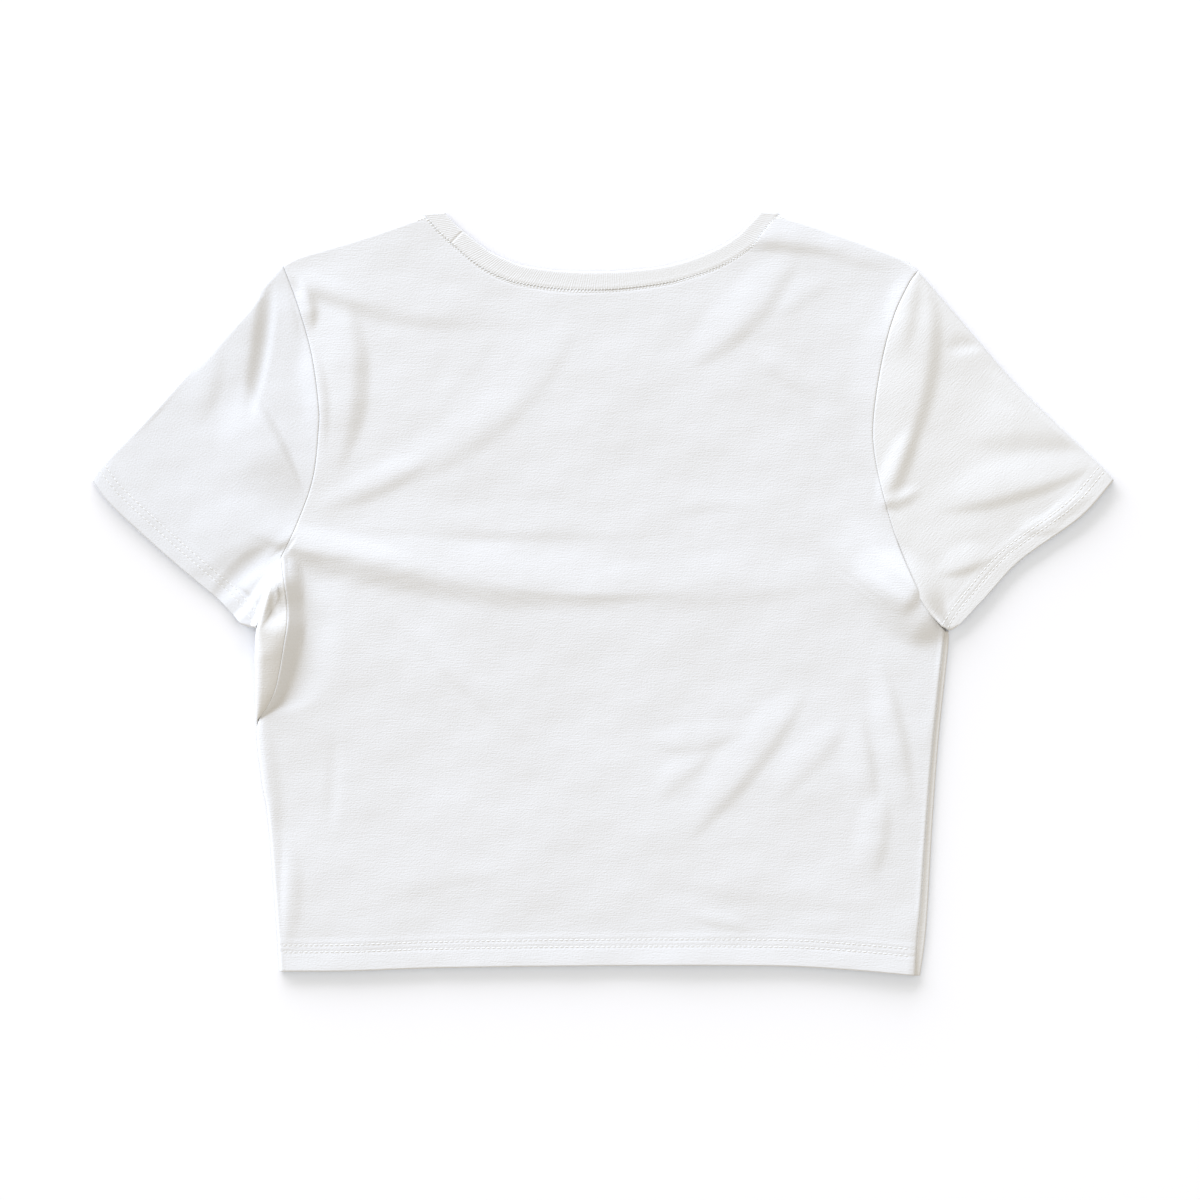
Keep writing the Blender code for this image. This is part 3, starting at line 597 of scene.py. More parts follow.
# %% [markdown]
# ## The front panel
#
# It lies below, face down, so it is flat where it rests. At the right it rolls round the
# edge up to the side seam, which shows as a narrow strip. At the left underarm a wide flap
# of it is folded over: its roll is thick, and from there it rounds down a little to the seam.
# A roll is a half turn and a run, worked out row by row from the same tables as the outline.

# %% Heights of the side rows
SIDE_SHARE = 0.49  # share of the body's height below the underarm
SIDE_LENGTH = 197.0
ARM_LENGTH = 188.0
BODY_WIDTH = 372.0
BODY_CELL = 1.9  # the meshes' cells inside a panel and at its edges
EDGE_CELL = 0.75
row_shares = stations(SIDE_LENGTH + ARM_LENGTH, BODY_CELL, EDGE_CELL,
                      low_reach=17.5, high_reach=3.0, keep=(SIDE_SHARE,))


def arm_share(v):
    """A row's share of the way up the armhole; less than 0 below it."""
    return (v - SIDE_SHARE) / (1 - SIDE_SHARE)


def side_y(side, v):
    """The y of a row below the underarm, by its share of the body's height."""
    return side[0].y + (side[-1].y - side[0].y) * np.clip(v / SIDE_SHARE, 0, 1)


print("rows of the body:", len(row_shares))

# %% How the front rolls over its sides
ROLL_RIGHT = 0.95  # outer radius of the roll at the right
STRIP_RISE = 0.9  # how far its strip climbs to the seam
ROLL_LEFT = 1.4  # the left roll is thicker the wider the flap is
ROLL_GROWTH = 0.25
FLAP_WIDE = 18.0
FLAP_SINK = 2.0  # how far the left flap sinks from its roll to the seam
FLAP_TILT = 0.11  # but no more than this share of its width
FLAP_END = 3.0  # over this way up to the sleeve, its seam comes down to the back
ROLL_END = 4.0  # and over this one, its roll's radius changes
END_ROLL = 4.6  # to this
LIP = 1.2  # where there is no roll, the edge still curls up this much
LIP_TURN = math.radians(75)
FULL_ROLL = 2.6  # a strip this wide rolls fully
ROLL_STEPS = 12
RUN_STEPS = 22
ROLLED = ROLL_STEPS + RUN_STEPS


def roll_section(edge, seam, way, radius, rise):
    """Where the flat cloth ends, and the outer and inner points from there to the seam."""
    width = apart(seam, edge)
    inward = unit((seam - edge) * ease(width) + np.array((-way, 0.0)) * (1 - ease(width)))
    full = ease(width / FULL_ROLL)
    radius = LIP + (min(radius, max(width - SEAM_GAP, LIP)) - LIP) * full
    turn = LIP_TURN + (math.pi - LIP_TURN) * full
    run = max(width - radius, SEAM_GAP)
    start = edge + inward * radius
    outer, inner = [], []
    for k in range(1, ROLLED + 1):
        angle = turn * min(k / ROLL_STEPS, 1)
        share = max(k - ROLL_STEPS, 0) / RUN_STEPS
        for points, r in ((outer, radius), (inner, radius - JERSEY)):
            along = -r * math.sin(angle) - run * share * math.cos(turn)
            up = radius - r * math.cos(angle) + run * share * math.sin(turn)
            points.append((*(start + inward * along), up + rise * share * share))
    return start, np.array(outer), np.array(inner)


def left_roll(v):
    y, edge, seam_x, seam_y = left_side(side_y(LEFT_SIDE, v))
    seam_x = max(seam_x, edge)
    width = math.hypot(seam_x - edge, seam_y - y)
    below = (SIDE_SHARE - v) / SIDE_SHARE * SIDE_LENGTH
    radius = ROLL_LEFT + ROLL_GROWTH * min(width, FLAP_WIDE)
    radius += (END_ROLL - radius) * ease(1 - below / ROLL_END)
    rise = -min(FLAP_SINK, FLAP_TILT * width)
    rise += (TOP - 2 * radius - rise) * ease(1 - below / FLAP_END)
    return roll_section(np.array((edge, y)), np.array((seam_x, seam_y)), -1, radius, rise)


def right_roll(v):
    y, edge, seam = right_side(side_y(RIGHT_SIDE, v))
    return roll_section(np.array((edge, y)), np.array((seam, y)), 1, ROLL_RIGHT, STRIP_RISE)


side_rows = row_shares[row_shares <= SIDE_SHARE + 1e-9]
left_rolls = [left_roll(v) for v in side_rows]
right_rolls = [right_roll(v) for v in side_rows]
for _, outer, inner in left_rolls:
    dent = crease_height(outer[:, :2], FLAP_DENTS, ()) * ease(outer[:, 2] / DENTS_ABOVE - 1)
    outer[:, 2] += dent
    inner[:, 2] += dent
print("the flap's seam stands", round(max(out[-1, 2] for _, out, _ in left_rolls), 1), "mm high")

# %% The front panel
FRONT_SHOULDER = 1 / 6  # share of the front's width in each shoulder
FRONT_CELLS = (4.0, 1.5)  # coarser than the back's, because less of it shows


def along_side(places, armhole):
    """A panel's edge by its share of the height: these places, then the armhole."""
    places = np.array(places)
    arm = smooth_line([places[-1], *armhole[1:]])

    def at(v):
        v = np.asarray(v, float)
        above = arm(np.clip(arm_share(v), 0, 1))
        return np.where((v <= SIDE_SHARE)[..., None], spots_on(places, side_rows, v), above)
    return at


def panel_plan(hem, left, right, neck, shoulder, cells, reach):
    """A panel's grid on the flat, after each place's shares of its width and height."""
    columns = stations(BODY_WIDTH, *cells, reach, reach, keep=(shoulder, 1 - shoulder))
    u, v = np.meshgrid(columns, row_shares)
    top = joined((smooth_line(LEFT_SHOULDER), shoulder), (neck_seam(neck), 1 - 2 * shoulder),
                 (smooth_line(RIGHT_SHOULDER), shoulder))
    return u, v, patch(hem, top, left, right, u, v)


def hem_lift(away, depth):
    """A turned-up hem's extra height, by the distance from its edge."""
    return HEM_EXTRA * ease((depth + HEM_SLOPE - away) / HEM_SLOPE)


def with_rolls(flat, which):
    """A flat grid with the rolls' outer or inner points at both sides."""
    strips = []
    for rolls, edge in ((left_rolls, 0), (right_rolls, -1)):
        strip = np.repeat(flat[:, [edge]], ROLLED, axis=1)
        strip[:len(rolls)] = [roll[which] for roll in rolls]
        strips.append(strip)
    return np.hstack([strips[0][:, ::-1], flat, strips[1]])


def front_panel():
    """Outer and inner points of the front, its rolls included."""
    left = along_side([roll[0] for roll in left_rolls], LEFT_LOWER_ARMHOLE)
    right = along_side([roll[0] for roll in right_rolls], RIGHT_ARMHOLE)
    _, _, plan = panel_plan(hem_line, left, right, NECK_FRONT, FRONT_SHOULDER,
                            FRONT_CELLS, reach=6)
    height = JERSEY + hem_lift(apart(plan, plan[:1]), HEM_DEPTH)
    outer, inner = (np.dstack([plan, face]) for face in (0 * height, height))
    return with_rolls(outer, 1), with_rolls(inner, 2)


front_outer, front_inner = front_panel()
front_cells = np.ones(np.subtract(front_outer.shape[:2], 1), bool)
front_cells[len(side_rows) - 1:, :ROLLED] = False
front_cells[len(side_rows) - 1:, -ROLLED:] = False
front = cloth_shell("front_jersey", front_outer, front_inner, front_outer[..., :2] - (0, HEM[0][1]),
                    jersey_front_painted_shade, flip=True, cells=front_cells)
dress(front, ["front_panel"])

# %% [markdown]
# ## The back panel
#
# The back lies on top and carries most of what is seen. Its height is a sum: the flat upper
# layer, the creases, the climb to the seam where the front stands up, and the turned-up hem.
# At a seam the cloth dips a little and its edge rounds down, so the seam reads as a soft
# groove, as a sewn one does. A row of needle holes draws the cloth down in the same way.

# %% The back panel
BACK_SHOULDER = 0.22  # share of its width in each shoulder
SHOULDER_FADE = 8.0  # width of the change from a shoulder to the neck
FLAP_CREST = 0.8  # how far inside the left seam the back's crest is
FLAP_DOWN = 0.88  # slope of the back as it comes down from there
FLAP_HOLLOW = 1.6  # how deep it dips at the foot of that slope
FLAP_HIGH = 3.0  # a flap this high has the whole hollow beside it
HOLLOW_REACH = 26.0  # how far inside its foot the hollow ends
EDGE_FADE = 4.0  # over this way to a side seam or fold, the creases die away
ARM_OPEN = 15.0  # this far up the armhole, they run on into the sleeve instead
ARM_FADE = 30.0  # how far up the armhole the side's lift dies away
SEAM_DIP = 0.2  # how far the cloth rounds down at a seam, and over which width
SEAM_ROUND = 1.6
EDGE_LOW = 1.5  # the same at a shoulder or side: there the edge's height is given
EDGE_ROUND = 1.5
SEAM_INSET = 0.15  # how far an edge stays back from its seam
HEM_CURL = 0.6  # how far the hem's edge turns up
NEEDLE_DIP = 0.16  # how far a row of needle holes draws the cloth down
NEEDLE_WIDE = 0.8
NECK_STITCH = 1.1  # where the row of stitches below the neckband's seam is
NECK_DRAW = 1.2  # it draws the cloth down more than a hem's rows


def round_down(distance, reach):
    """A quarter round at an edge: 1 at the edge, 0 inside."""
    return 1 - np.sqrt(1 - (1 - np.clip(distance / reach, 0, 1)) ** 2)


def inset(grid):
    """Moves a grid's first row toward the next, to leave room for its rim."""
    grid[0] += unit(grid[1] - grid[0]) * SEAM_INSET


def needle_rows(distance, places):
    """How a row of needle holes draws the cloth down at each of the places."""
    return -NEEDLE_DIP * sum(bell((distance - place) / NEEDLE_WIDE) for place in places)


def seam_side(rolls):
    """How far a side seam stands above the flat upper layer, row by row."""
    rise = np.array([outer[-1, 2] for _, outer, _ in rolls]) - TOP
    arm = arm_share(row_shares[len(rolls):]) * ARM_LENGTH
    return np.concatenate([rise, rise[-1] * ease(1 - arm / ARM_FADE)])


def back_panel():
    """Outer and inner points of the back, and its sides' heights for the sleeves."""
    left_seam = [left_side(side_y(LEFT_SIDE, v))[2:] for v in side_rows]
    right_seam = [right_side(side_y(RIGHT_SIDE, v))[[2, 0]] for v in side_rows]
    sewn = (right_seam[0][0] - HEM[0][0]) / (HEM[-1][0] - HEM[0][0])
    u, v, plan = panel_plan(lambda share: hem_line(sewn * share),
                            along_side(left_seam, LEFT_ARMHOLE), along_side(right_seam, RIGHT_ARMHOLE),
                            NECK_BACK, BACK_SHOULDER, (BODY_CELL, EDGE_CELL), reach=5)
    columns = plan.swapaxes(0, 1)
    for grid in (columns, columns[::-1], plan[::-1]):
        inset(grid)
    from_left, from_right = apart(plan, plan[:, :1]), apart(plan, plan[:, -1:])
    from_top, from_hem = apart(plan, plan[-1:]), apart(plan, plan[:1])
    from_side = np.minimum(from_left, from_right)
    sides = np.maximum(ease(from_side / EDGE_FADE), ease(arm_share(v) * ARM_LENGTH / ARM_OPEN))
    height = TOP + crease_height(plan) * sides
    left_rise, right_rise = (seam_side(rolls)[:, None] for rolls in (left_rolls, right_rolls))
    hollow = FLAP_HOLLOW * ease(left_rise / FLAP_HIGH)
    foot = FLAP_CREST + (left_rise + hollow) / FLAP_DOWN
    height += np.where(left_rise > 0,
                       np.maximum(left_rise - FLAP_DOWN * np.maximum(from_left - FLAP_CREST, 0),
                                  -hollow * ease(1 - (from_left - foot) / HOLLOW_REACH)),
                       left_rise * round_down(from_left, EDGE_ROUND))
    height += right_rise * round_down(from_right, EDGE_ROUND)
    joint = height[:, [0, -1]].copy()
    height += crease_height(plan, UNDERARM, ())
    shoulder = ease((np.abs(u - 0.5) - 0.5 + BACK_SHOULDER) * BODY_WIDTH / SHOULDER_FADE + 0.5)
    height += shoulder * (EDGE_LOW - TOP) * round_down(from_top, EDGE_ROUND)
    height -= SEAM_DIP * round_down(from_side, SEAM_ROUND)
    height -= SEAM_DIP * (1 - shoulder) * round_down(from_top, SEAM_ROUND)
    hem = hem_lift(from_hem, HEM_DEPTH)
    height += hem + HEM_CURL * ease(1 - from_hem / HEM_DEPTH) + needle_rows(from_hem, HEM_ROWS)
    height += NECK_DRAW * (1 - shoulder) * needle_rows(from_top, (NECK_STITCH,))
    return np.dstack([plan, height]), np.dstack([plan, height - JERSEY - hem]), joint


back_outer, back_inner, back_joint = back_panel()
back = cloth_shell("back_jersey", back_outer, back_inner, back_outer[..., :2] - (0, HEM[0][1]),
                   jersey_back)
dress(back, ["back_panel"])

# %% [markdown]
# ## The sleeves
#
# A sleeve is one flat piece, sewn to a tube under the arm and pressed flat here, so it is a
# ring of rows from the armhole to the cuff, round at both folds. Its first row takes its
# height from the body's edge, so that the armhole seam runs through without a step, except
# at the right underarm, where the sleeve lies higher and hangs over it. The knit turns with
# the cuff: a sleeve is cut with its rows across the arm.

# %% The sleeves
FOLD_RADIUS = 1.1  # how far a folded edge rounds out
FOLD_STEPS = 8
FOLD_CELL = 1.2
SLEEVE_LENGTH = 118.0
SLEEVE_WIDTH = 180.0
SAMPLE_COLUMNS = 60  # of a first, even grid, which gives the width of each row
LOWER_COLUMNS = 56  # of the lower layer, which is plain
JOIN_REACH = 16.0  # how far from the armhole the sleeve takes the body's height
UPPER_SHARE = 24 / 29  # share of the left sleeve's first row in the body's armhole
BUNCH_NEAR, BUNCH_FAR = 5.0, 19.0  # width of the bunched underarm at its two ends
BUNCH_SIDE = 11.0  # width of its outer side
BUNCH_FROM = 0.2  # share of its seam over which it swells up
BUNCH_DROP = 0.55  # share of the flap's height that it loses beside its seam
DROP_REACH = 4.0
SLEEVE_LIFT = 5.5  # how far the right sleeve stands above the body at the underarm
LIFT_FROM, LIFT_FULL = 0.74, 0.9  # shares of the armhole where this starts and is full
LIFT_END = 0.5  # share of the sleeve where it has died away
OVERHANG = 0.3  # how far it hangs over the body's edge, as a share of its lift


def fold_arc(edge, inside, top, under, radius):
    """The round of a folded edge, from the upper layer down to the lower one."""
    angle = np.pi / 2 - np.pi * np.arange(1, FOLD_STEPS + 1) / (FOLD_STEPS + 1)
    outward = unit(edge - inside)[:, None]
    plan = inside[:, None] + outward * radius * np.cos(angle)[:, None]
    height = (top + under)[:, None] / 2 + (top - under)[:, None] / 2 * np.sin(angle)
    return np.dstack([plan, height])


def sleeve(name, nodes, arms, edges, joint, fade, lift, material):
    """A sleeve and its outer points.

    joint is the height of its first row, fade says how far into the sleeve that carries, and
    lift is how far it stands off the body.
    """
    upper_arm, lower_arm = arms
    upper_fold, lower_fold, cuff = (smooth_line(edge) for edge in edges)
    v = stations(SLEEVE_LENGTH, BODY_CELL, EDGE_CELL, low_reach=3, high_reach=13.5)[:, None]
    sample = patch(upper_arm, cuff, upper_fold, lower_fold, np.linspace(0, 1, SAMPLE_COLUMNS), v)
    width = apart(sample[:, 1:], sample[:, :-1]).sum(1)[:, None]
    tuck = FOLD_RADIUS / width
    u = tuck + (1 - 2 * tuck) * stations(SLEEVE_WIDTH, BODY_CELL, FOLD_CELL, low_reach=4, high_reach=4)
    plan = patch(upper_arm, cuff, upper_fold, lower_fold, u, v)
    plan[0] -= unit(plan[1] - plan[0]) * OVERHANG * lift(u[:1], v[:1])[0][:, None]
    from_arm, from_cuff = apart(plan, plan[:1]), apart(plan, plan[-1:])
    from_fold = np.minimum(u, 1 - u) * width
    height = TOP + crease_height(plan) * ease(from_fold / EDGE_FADE) + lift(u, v)
    step = joint(u[:1]) + lift(u[:1], v[:1]) - height[:1]
    height = height + step * fade(u, from_arm)
    height -= SEAM_DIP * round_down(from_arm, SEAM_ROUND)
    hem = hem_lift(from_cuff, CUFF_DEPTH)
    height += hem + needle_rows(from_cuff, CUFF_ROWS)
    lower_u = (1 - tuck) - (1 - 2 * tuck) * np.linspace(0, 1, LOWER_COLUMNS)
    lower = patch(lower_arm, cuff, upper_fold, lower_fold, lower_u, v)
    grids = []
    flat = np.zeros(len(v))
    for top, under, radius in ((height, flat, FOLD_RADIUS),
                               (height - JERSEY - hem, flat + JERSEY, FOLD_RADIUS - JERSEY)):
        down = fold_arc(sample[:, -1], plan[:, -1], top[:, -1], under, radius)
        up = fold_arc(sample[:, 0], plan[:, 0], top[:, 0], under, radius)[:, ::-1]
        bottom = np.dstack([lower, np.broadcast_to(under[:, None], lower.shape[:2])])
        grids.append(np.hstack([np.dstack([plan, top]), down, bottom, up]))
        inset(grids[-1][..., :2])
    outer, inner = grids
    around = run_of(outer[len(v) // 2])
    cut = np.dstack(np.broadcast_arrays(around, apart(outer[..., :2], outer[-1:, :, :2])))
    turned = (cuff(0.0) - upper_fold(0.0))[0] < 0
    piece = cloth_shell(name, outer, inner, cut, material, around=True, flip=turned)
    dress(piece, nodes)
    return piece, outer


def edge_height(side):
    """The height of the body's armhole edge, by its fraction from the shoulder down."""
    return lambda fraction: np.interp(1 - fraction, arm_share(row_shares), back_joint[:, side])


def left_joint(u):
    """Along the left sleeve's first row: the body's armhole, then the flap's upper end."""
    _, flap, _ = left_rolls[-1]
    away = apart(flap[:, :2], flap[-1, :2])[::-1]
    over = np.clip((u - UPPER_SHARE) / (1 - UPPER_SHARE), 0, 1) * away[-1]
    body = edge_height(0)(np.clip(u / UPPER_SHARE, 0, 1))
    return np.where(u < UPPER_SHARE, body, np.interp(over, away, flap[::-1, 2]))


def usual_fade(u, away):
    """How much of the body's height a sleeve keeps at a distance from the armhole."""
    return ease(1 - away / JOIN_REACH)


def bunched_fade(u, away):
    """The bunched underarm keeps the flap's height and ends in a short, steep side."""
    over = np.clip((u - UPPER_SHARE) / (1 - UPPER_SHARE), 0, 1)
    reach = BUNCH_NEAR + (BUNCH_FAR - BUNCH_NEAR) * over
    bunch = (BUNCH_DROP * ease(1 - away / DROP_REACH)
             + (1 - BUNCH_DROP) * ease((reach - away) / BUNCH_SIDE + 0.5))
    return usual_fade(u, away) + (bunch - usual_fade(u, away)) * ease(over / BUNCH_FROM)


def right_lift(u, v):
    """The right sleeve stands off the body along the lower part of its armhole."""
    return SLEEVE_LIFT * ease((u - LIFT_FROM) / (LIFT_FULL - LIFT_FROM)) * ease(1 - v / LIFT_END)


armhole = reverse(smooth_line(LEFT_ARMHOLE))
bunched = smooth_line([LEFT_ARMHOLE[0], LEFT_LOWER_ARMHOLE[0]])
left_sleeve, left_grid = sleeve(
    "left_sleeve_jersey", ["sleeve_left"],
    (joined((armhole, UPPER_SHARE), (bunched, 1 - UPPER_SHARE)),
     reverse(smooth_line(LEFT_LOWER_ARMHOLE))),
    (LEFT_UPPER_FOLD, LEFT_LOWER_FOLD, LEFT_CUFF), left_joint, bunched_fade,
    lambda u, v: 0 * u, jersey_left_painted_light)
right_arm = reverse(smooth_line(RIGHT_ARMHOLE))
right_sleeve, right_grid = sleeve(
    "right_sleeve_jersey", ["sleeve_right"], (right_arm, right_arm),
    (RIGHT_UPPER_FOLD, RIGHT_LOWER_FOLD, RIGHT_CUFF), edge_height(-1), usual_fade,
    right_lift, jersey_right)

# %% [markdown]
# ## The neckband
#
# A strip of rib knit, folded double and joined to a ring, lies above at the back and turns
# over at both shoulders to lie below at the front. Its ribs are shallow and run across it.
# They are real waves here: a bump would look the same from above, but flat at the folded
# edge.

# %% The neckband
BAND_HALF = 0.7  # half the folded band's thickness
BAND_SQUARE = 10  # the power that makes its section a rounded box
SEAM_SIDE = 0.85  # share of its thickness that it keeps along the seam
FREE_SIDE = 0.22  # half the thickness that it keeps at the folded edge
BAND_RIDGE = 0.15  # the seam's turned-up edges raise the band beside its seam
RIDGE_AT = 1.0
RIDGE_WIDE = 1.2
BAND_GAP = 0.25  # between its upper and lower layers
RIB_PITCH = 1.3  # drawn a little wider than the real 1.0, so that it shows
RIB_DEEP = 0.05
RIB_CELLS = 4  # cells to one rib
RIBS_ABOVE = 0.6  # ribs end where half the band's thickness is less than this
JOIN_AT = 20.3  # where the band's ends are joined, from the left shoulder
JOIN_SLANT = 5.5  # how far its free end lies back from its seam end
JOIN_DEEP = 0.35
JOIN_WIDE = 0.5
BAND_WIDE = 9.5
BAND_CUT = 10.0  # what a layer takes on the cut strip, with its share of the fold
BAND_ACROSS = 22
TURN_STEPS = 10


def neckband():
    """The band's outer and inner points, their places on the cut, and its columns at the back."""
    low = BAND_HALF + BAND_RIDGE / 2 + RIB_DEEP
    high = low + 2 * BAND_HALF + BAND_GAP
    middle, radius = (high + low) / 2, (high - low) / 2
    turn = math.pi * (0.5 - np.arange(1, TURN_STEPS) / TURN_STEPS)
    edges, angles = [], []
    for rows, above in ((NECK_BACK, 1), (NECK_FRONT[::-1], -1)):
        seam, free = (smooth_line([row[k:k + 2] for row in rows]) for k in (0, 2))
        places = np.linspace(0, 1, int(seam.length / RIB_PITCH * RIB_CELLS) + 1)
        angles.append(above * np.append(np.full(len(places), math.pi / 2), turn))
        places = np.append(places, np.ones(len(turn)))
        edges.append((seam(places), free(places)))
    seam, free = np.hstack(edges)
    angle = np.concatenate(angles)
    run = run_of(seam + free) / 2
    along = 0.5 - 0.5 * np.cos(np.pi * np.linspace(0, 1, BAND_ACROSS))
    half = BAND_HALF * (1 - (2 * np.abs(along - 0.5)) ** BAND_SQUARE) ** 0.5
    half = np.maximum(half, np.where(along < 0.5, SEAM_SIDE * BAND_HALF, FREE_SIDE))
    half = (half + BAND_RIDGE / 2 * bell((along * BAND_WIDE - RIDGE_AT) / RIDGE_WIDE))[:, None]
    half = half + RIB_DEEP * np.cos(TURN * run / RIB_PITCH) * (half > RIBS_ABOVE)
    from_join = run - JOIN_AT + JOIN_SLANT * along[:, None]
    half = half - JOIN_DEEP * bell(from_join / JOIN_WIDE) * (half > RIBS_ABOVE)
    start = seam + unit(free - seam) * SEAM_INSET
    plan = start + (free - start) * along[:, None, None]
    plan[..., 1] += radius * np.cos(angle)
    centre = np.dstack([plan, np.broadcast_to(middle + radius * np.sin(angle), half.shape)])
    normal = np.stack([np.zeros_like(angle), np.cos(angle), np.sin(angle)], -1)
    outer, inner = centre + half[..., None] * normal, centre - half[..., None] * normal
    cut = np.dstack(np.broadcast_arrays(along[:, None] * BAND_CUT, run))
    return outer, inner, cut, (angle == math.pi / 2).sum()


band_outer, band_inner, band_cut, band_above = neckband()
band = cloth_shell("neckband_rib", band_outer, band_inner, band_cut, rib, around=True)
dress(band, ["neckband"])

# %% [markdown]
# ## The stitches
#
# Each hem is held by two parallel needle rows. One row runs below the neckband, and short
# stitches cross its seam. A stitch is a capsule that dives into the cloth at both ends. The
# rows are found on the cloth's own grids, so they follow every crease. The thread is drawn
# thicker than the real 0.25 mm, so that it still shows from above.

# %% The stitches
THREAD_WIDE = 0.42
THREAD_FLAT = 0.8  # its height, as a share of its width
THREAD_PROUD = 0.25  # how far its middle lies above the cloth, as a share of its width
STITCH_PITCH = 3.0  # one stitch of a hem
STITCH_LONG = 0.78  # share of the pitch that shows
NECK_PITCH = 1.9
RUNG_INSET = 0.8  # the stitches across the neck seam start this far inside the back's edge
RUNG_COLUMN = 4  # and end on this line of the band
RUNG_SHARE = 0.97  # their pitch, as a share of the shortest, so that each line has one
UNDER_LIFT = 0.1  # how far the front's stitches are kept off the floor
SECTION = 6  # corners of the thread's section
PROFILE = ((-1.0, 0.35), (-0.7, 0.85), (0.0, 1.0), (0.7, 0.85), (1.0, 0.35))


def row_at(grid, distance):
    """The line on a grid that keeps its distance from the grid's first row."""
    return np.array([spots_on(column, run_of(column[:, :2]), distance)
                     for column in grid.swapaxes(0, 1)])


def stitch_row(name, lines, pitch=STITCH_PITCH, sink=0.1):
    """Stitches along lines of points, joined; their ends sink into the cloth."""
    angle = np.arange(SECTION) * TURN / SECTION
    offsets, radii = np.array(PROFILE).T
    points = []
    for line in lines:
        run = run_of(line)
        for middle in np.arange(pitch / 2, run[-1] - pitch / 2, pitch):
            spine = spots_on(line, run, middle + offsets * pitch * STITCH_LONG / 2)
            way = unit(spine[-1] - spine[0])
            side = unit(np.cross(way, (0, 0, 1)))
            up = np.cross(side, way)
            spine = spine + up * (THREAD_WIDE * THREAD_PROUD - sink * offsets[:, None] ** 2)
            ring = np.cos(angle)[:, None] * side + np.sin(angle)[:, None] * up * THREAD_FLAT
            tube = spine[:, None] + ring * radii[:, None, None] * THREAD_WIDE / 2
            points.append(tube.reshape(-1, 3))
    k = np.arange(SECTION)
    n = np.roll(k, -1)
    *rings, last = SECTION * np.arange(len(PROFILE))
    faces = [ring + np.stack([k, n, SECTION + n, SECTION + k], -1) for ring in rings]
    faces = np.vstack([*faces, ((3, 2, 1, 0), (5, 4, 3, 0)), last + [(0, 1, 2, 3), (0, 3, 4, 5)]])
    number = np.arange(len(points))[:, None, None]
    every = (number * SECTION * len(PROFILE) + faces).reshape(-1, 4)
    print(f"{name}: {len(points)} stitches, {2 * len(every)} triangles")
    return add_mesh(name, np.vstack(points), every, thread)


def evenly(line, count):
    """A line of points as count points, evenly spaced."""
    run = run_of(line)
    return spots_on(line, run, np.linspace(0, run[-1], count))


inside = slice(3, -3)
back_hem = stitch_row("back_hem_stitches", [row_at(back_outer, d)[inside] for d in HEM_ROWS])
under = front_outer[:, ROLLED:-ROLLED]
front_hem = stitch_row("front_hem_stitches",
                       [row_at(under, d)[inside] + (0, 0, UNDER_LIFT) for d in HEM_ROWS], sink=0)
cuffs = [stitch_row(name, [row_at(grid[::-1], d) for d in CUFF_ROWS])
         for name, grid in (("left_cuff_stitches", left_grid), ("right_cuff_stitches", right_grid))]
neck_grid = back_outer[::-1]
neck_line = row_at(neck_grid, NECK_STITCH)
on_neck = np.abs(np.linspace(0, 1, len(neck_line)) - 0.5) < 0.5 - BACK_SHOULDER
neck_row = stitch_row("neck_stitches", [neck_line[on_neck]], NECK_PITCH)
rungs = int(neck_seam(NECK_BACK).length / NECK_PITCH)
rung_ends = (evenly(row_at(neck_grid, RUNG_INSET)[on_neck], rungs),
             evenly(band_outer[RUNG_COLUMN, :band_above], rungs))
ladder = np.stack(rung_ends, axis=1)[2:-2]
shortest = apart(ladder[:, 0], ladder[:, 1]).min()
neck_rungs = stitch_row("neck_seam_stitches", ladder, RUNG_SHARE * shortest, sink=0.05)
for piece in (back_hem, front_hem, neck_row, neck_rungs):
    dress(piece, [])
for piece in cuffs:
    dress(piece, [])

# %% [markdown]
# ## The light, the floor and the camera
#
# The top lies on a pale floor in a soft, warm room, and cool light comes in low from the upper
# left, so the creases read and their shaded sides turn a little tan. The same light would tint
# the floor's shadow. So the cloth and the floor get windows of their own, told apart by light
# linking: the floor's one is lower still, for a long, pale, grey shadow, and a third light, a
# wide ceiling, brightens the floor around it.

# %% The light and the floor
FLOOR_SIZE = 3.0  # in metres, like the windows' sizes and their distance
FLOOR_DROP = 0.1  # how far the floor lies below the cloth
WINDOW_FAR = 20.0
# Each light's direction and height in degrees, its size, its power and its tint
Window = namedtuple("Window", "name heading rise wide tall power tint")
CLOTH_WINDOW = Window("window_on_cloth", 124, 20, 18.0, 11.0, 6000, (0.87, 0.985, 1.19))
FLOOR_WINDOW = Window("window_on_floor", 116, 14, 30.0, 8.5, 6700, (1.14, 1.05, 1.02))
FLOOR_CEILING = Window("ceiling_on_floor", 0, 90, 24.0, 24.0, 650, (1.14, 1.05, 1.02))
ROOM_TINT = (1.025, 0.957, 0.835)
ROOM_POWER = 0.74
FLOOR_COLOUR = (0.83, 0.89, 1.0)  # undoes the room's tint

floor_material, _ = matt("matt_floor", {"Base Color": (*FLOOR_COLOUR, 1), "Roughness": 1.0,
                                        "Specular IOR Level": 0.0})
bpy.ops.mesh.primitive_plane_add(size=FLOOR_SIZE, location=(0, 0, -FLOOR_DROP * MM))
floor = bpy.context.object
floor.name = "floor"
floor.data.materials.append(floor_material)

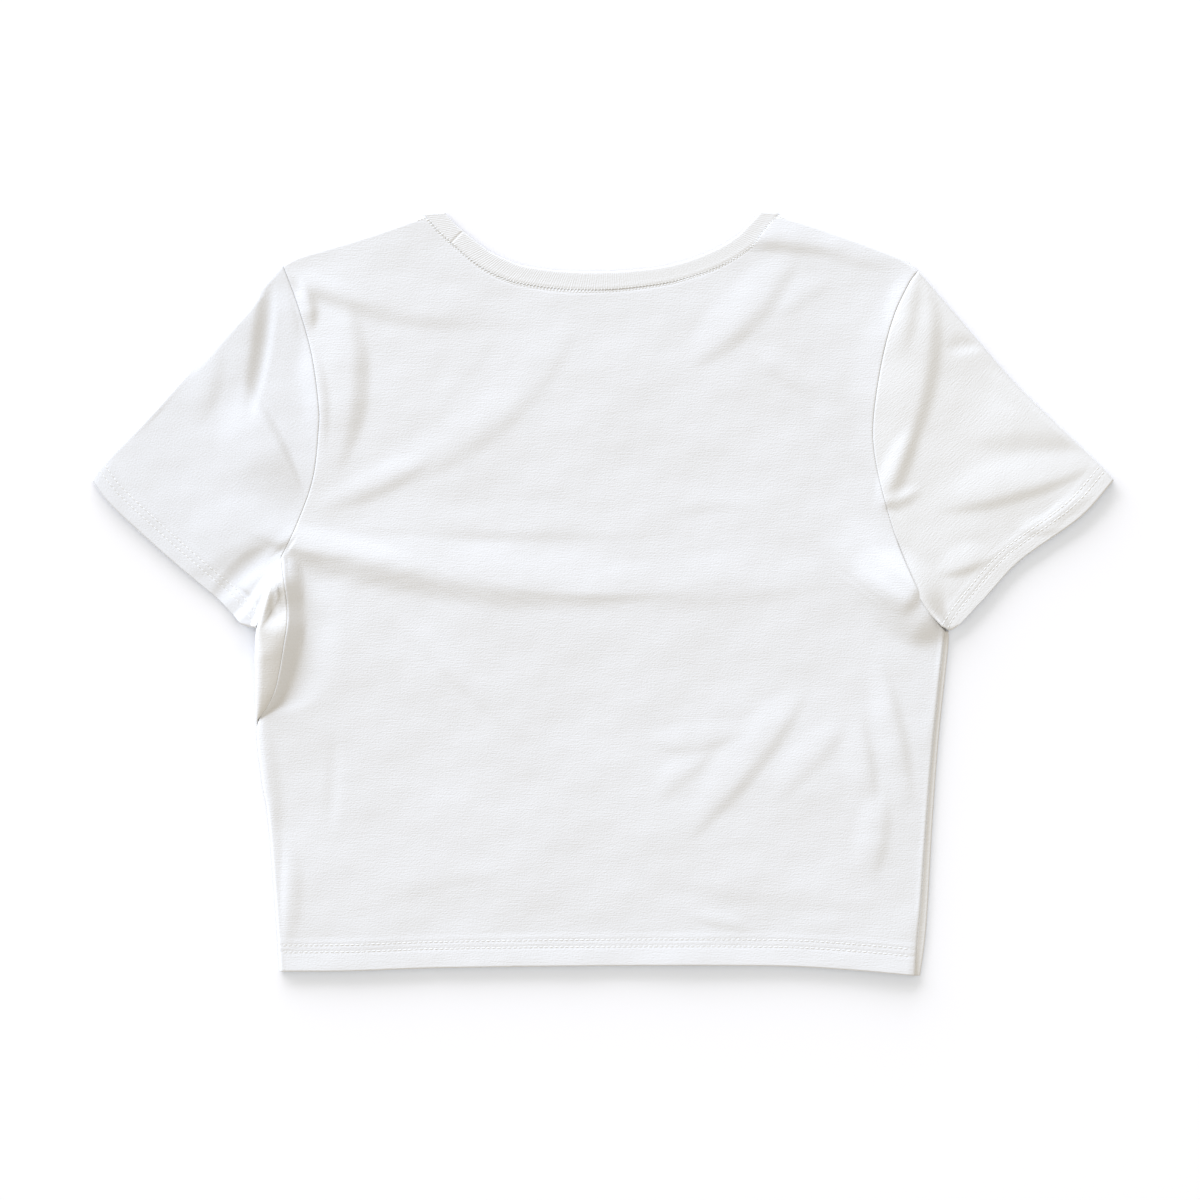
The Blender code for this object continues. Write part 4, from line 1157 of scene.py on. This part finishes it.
world = bpy.data.worlds.new("room")
bpy.context.scene.world = world
world.use_nodes = True
room = world.node_tree.nodes["Background"]
room.inputs["Color"].default_value = (*ROOM_TINT, 1)
room.inputs["Strength"].default_value = ROOM_POWER


def add_window(window, lit):
    """A rectangle of soft light that faces the middle and lights only these things."""
    light = bpy.data.lights.new(window.name, "AREA")
    light.shape = "RECTANGLE"
    light.energy, light.color = window.power, window.tint
    light.size, light.size_y = window.wide, window.tall
    lamp = put(window.name, light)
    across, up = math.radians(window.heading), math.radians(window.rise)
    lamp.location = (WINDOW_FAR * math.cos(across) * math.cos(up),
                     WINDOW_FAR * math.sin(across) * math.cos(up), WINDOW_FAR * math.sin(up))
    lamp.rotation_euler = (math.pi / 2 - up, 0, across + math.pi / 2)
    lamp.light_linking.receiver_collection = bpy.data.collections.new(window.name)
    for thing in lit:
        lamp.light_linking.receiver_collection.objects.link(thing)


cloth = [front, back, left_sleeve, right_sleeve, band,
         back_hem, front_hem, *cuffs, neck_row, neck_rungs]
for window, lit in ((CLOTH_WINDOW, cloth), (FLOOR_WINDOW, [floor]), (FLOOR_CEILING, [floor])):
    add_window(window, lit)
print("windows stand", CLOTH_WINDOW.rise, "and", FLOOR_WINDOW.rise, "degrees above the floor")

# %% The camera
LENS = 135
PICTURE = 0.69  # what the picture spans, in metres
CENTRE = (-1.8, -3.9)  # what the camera looks at, in millimetres

lens = bpy.data.cameras.new("camera")
lens.lens = LENS
camera = put("camera", lens)
camera.location = (CENTRE[0] * MM, CENTRE[1] * MM, PICTURE * LENS / lens.sensor_width)
bpy.context.scene.camera = camera
bpy.context.scene.view_settings.view_transform = "Standard"

# %% The cut sizes of the pieces
for piece, flat, rests, stitches in (
        (front, (0.40, 0.45), ["floor"], [front_hem]),
        (back, (0.40, 0.45), ["front_jersey"], [back_hem, neck_row, neck_rungs]),
        (left_sleeve, (0.46, 0.16), ["floor"], [cuffs[0]]),
        (right_sleeve, (0.46, 0.16), ["floor"], [cuffs[1]]),
        (band, (0.54, 0.022), ["front_jersey"], [])):
    print(piece.name, "is cut from", flat[0], "by", flat[1], "metres")
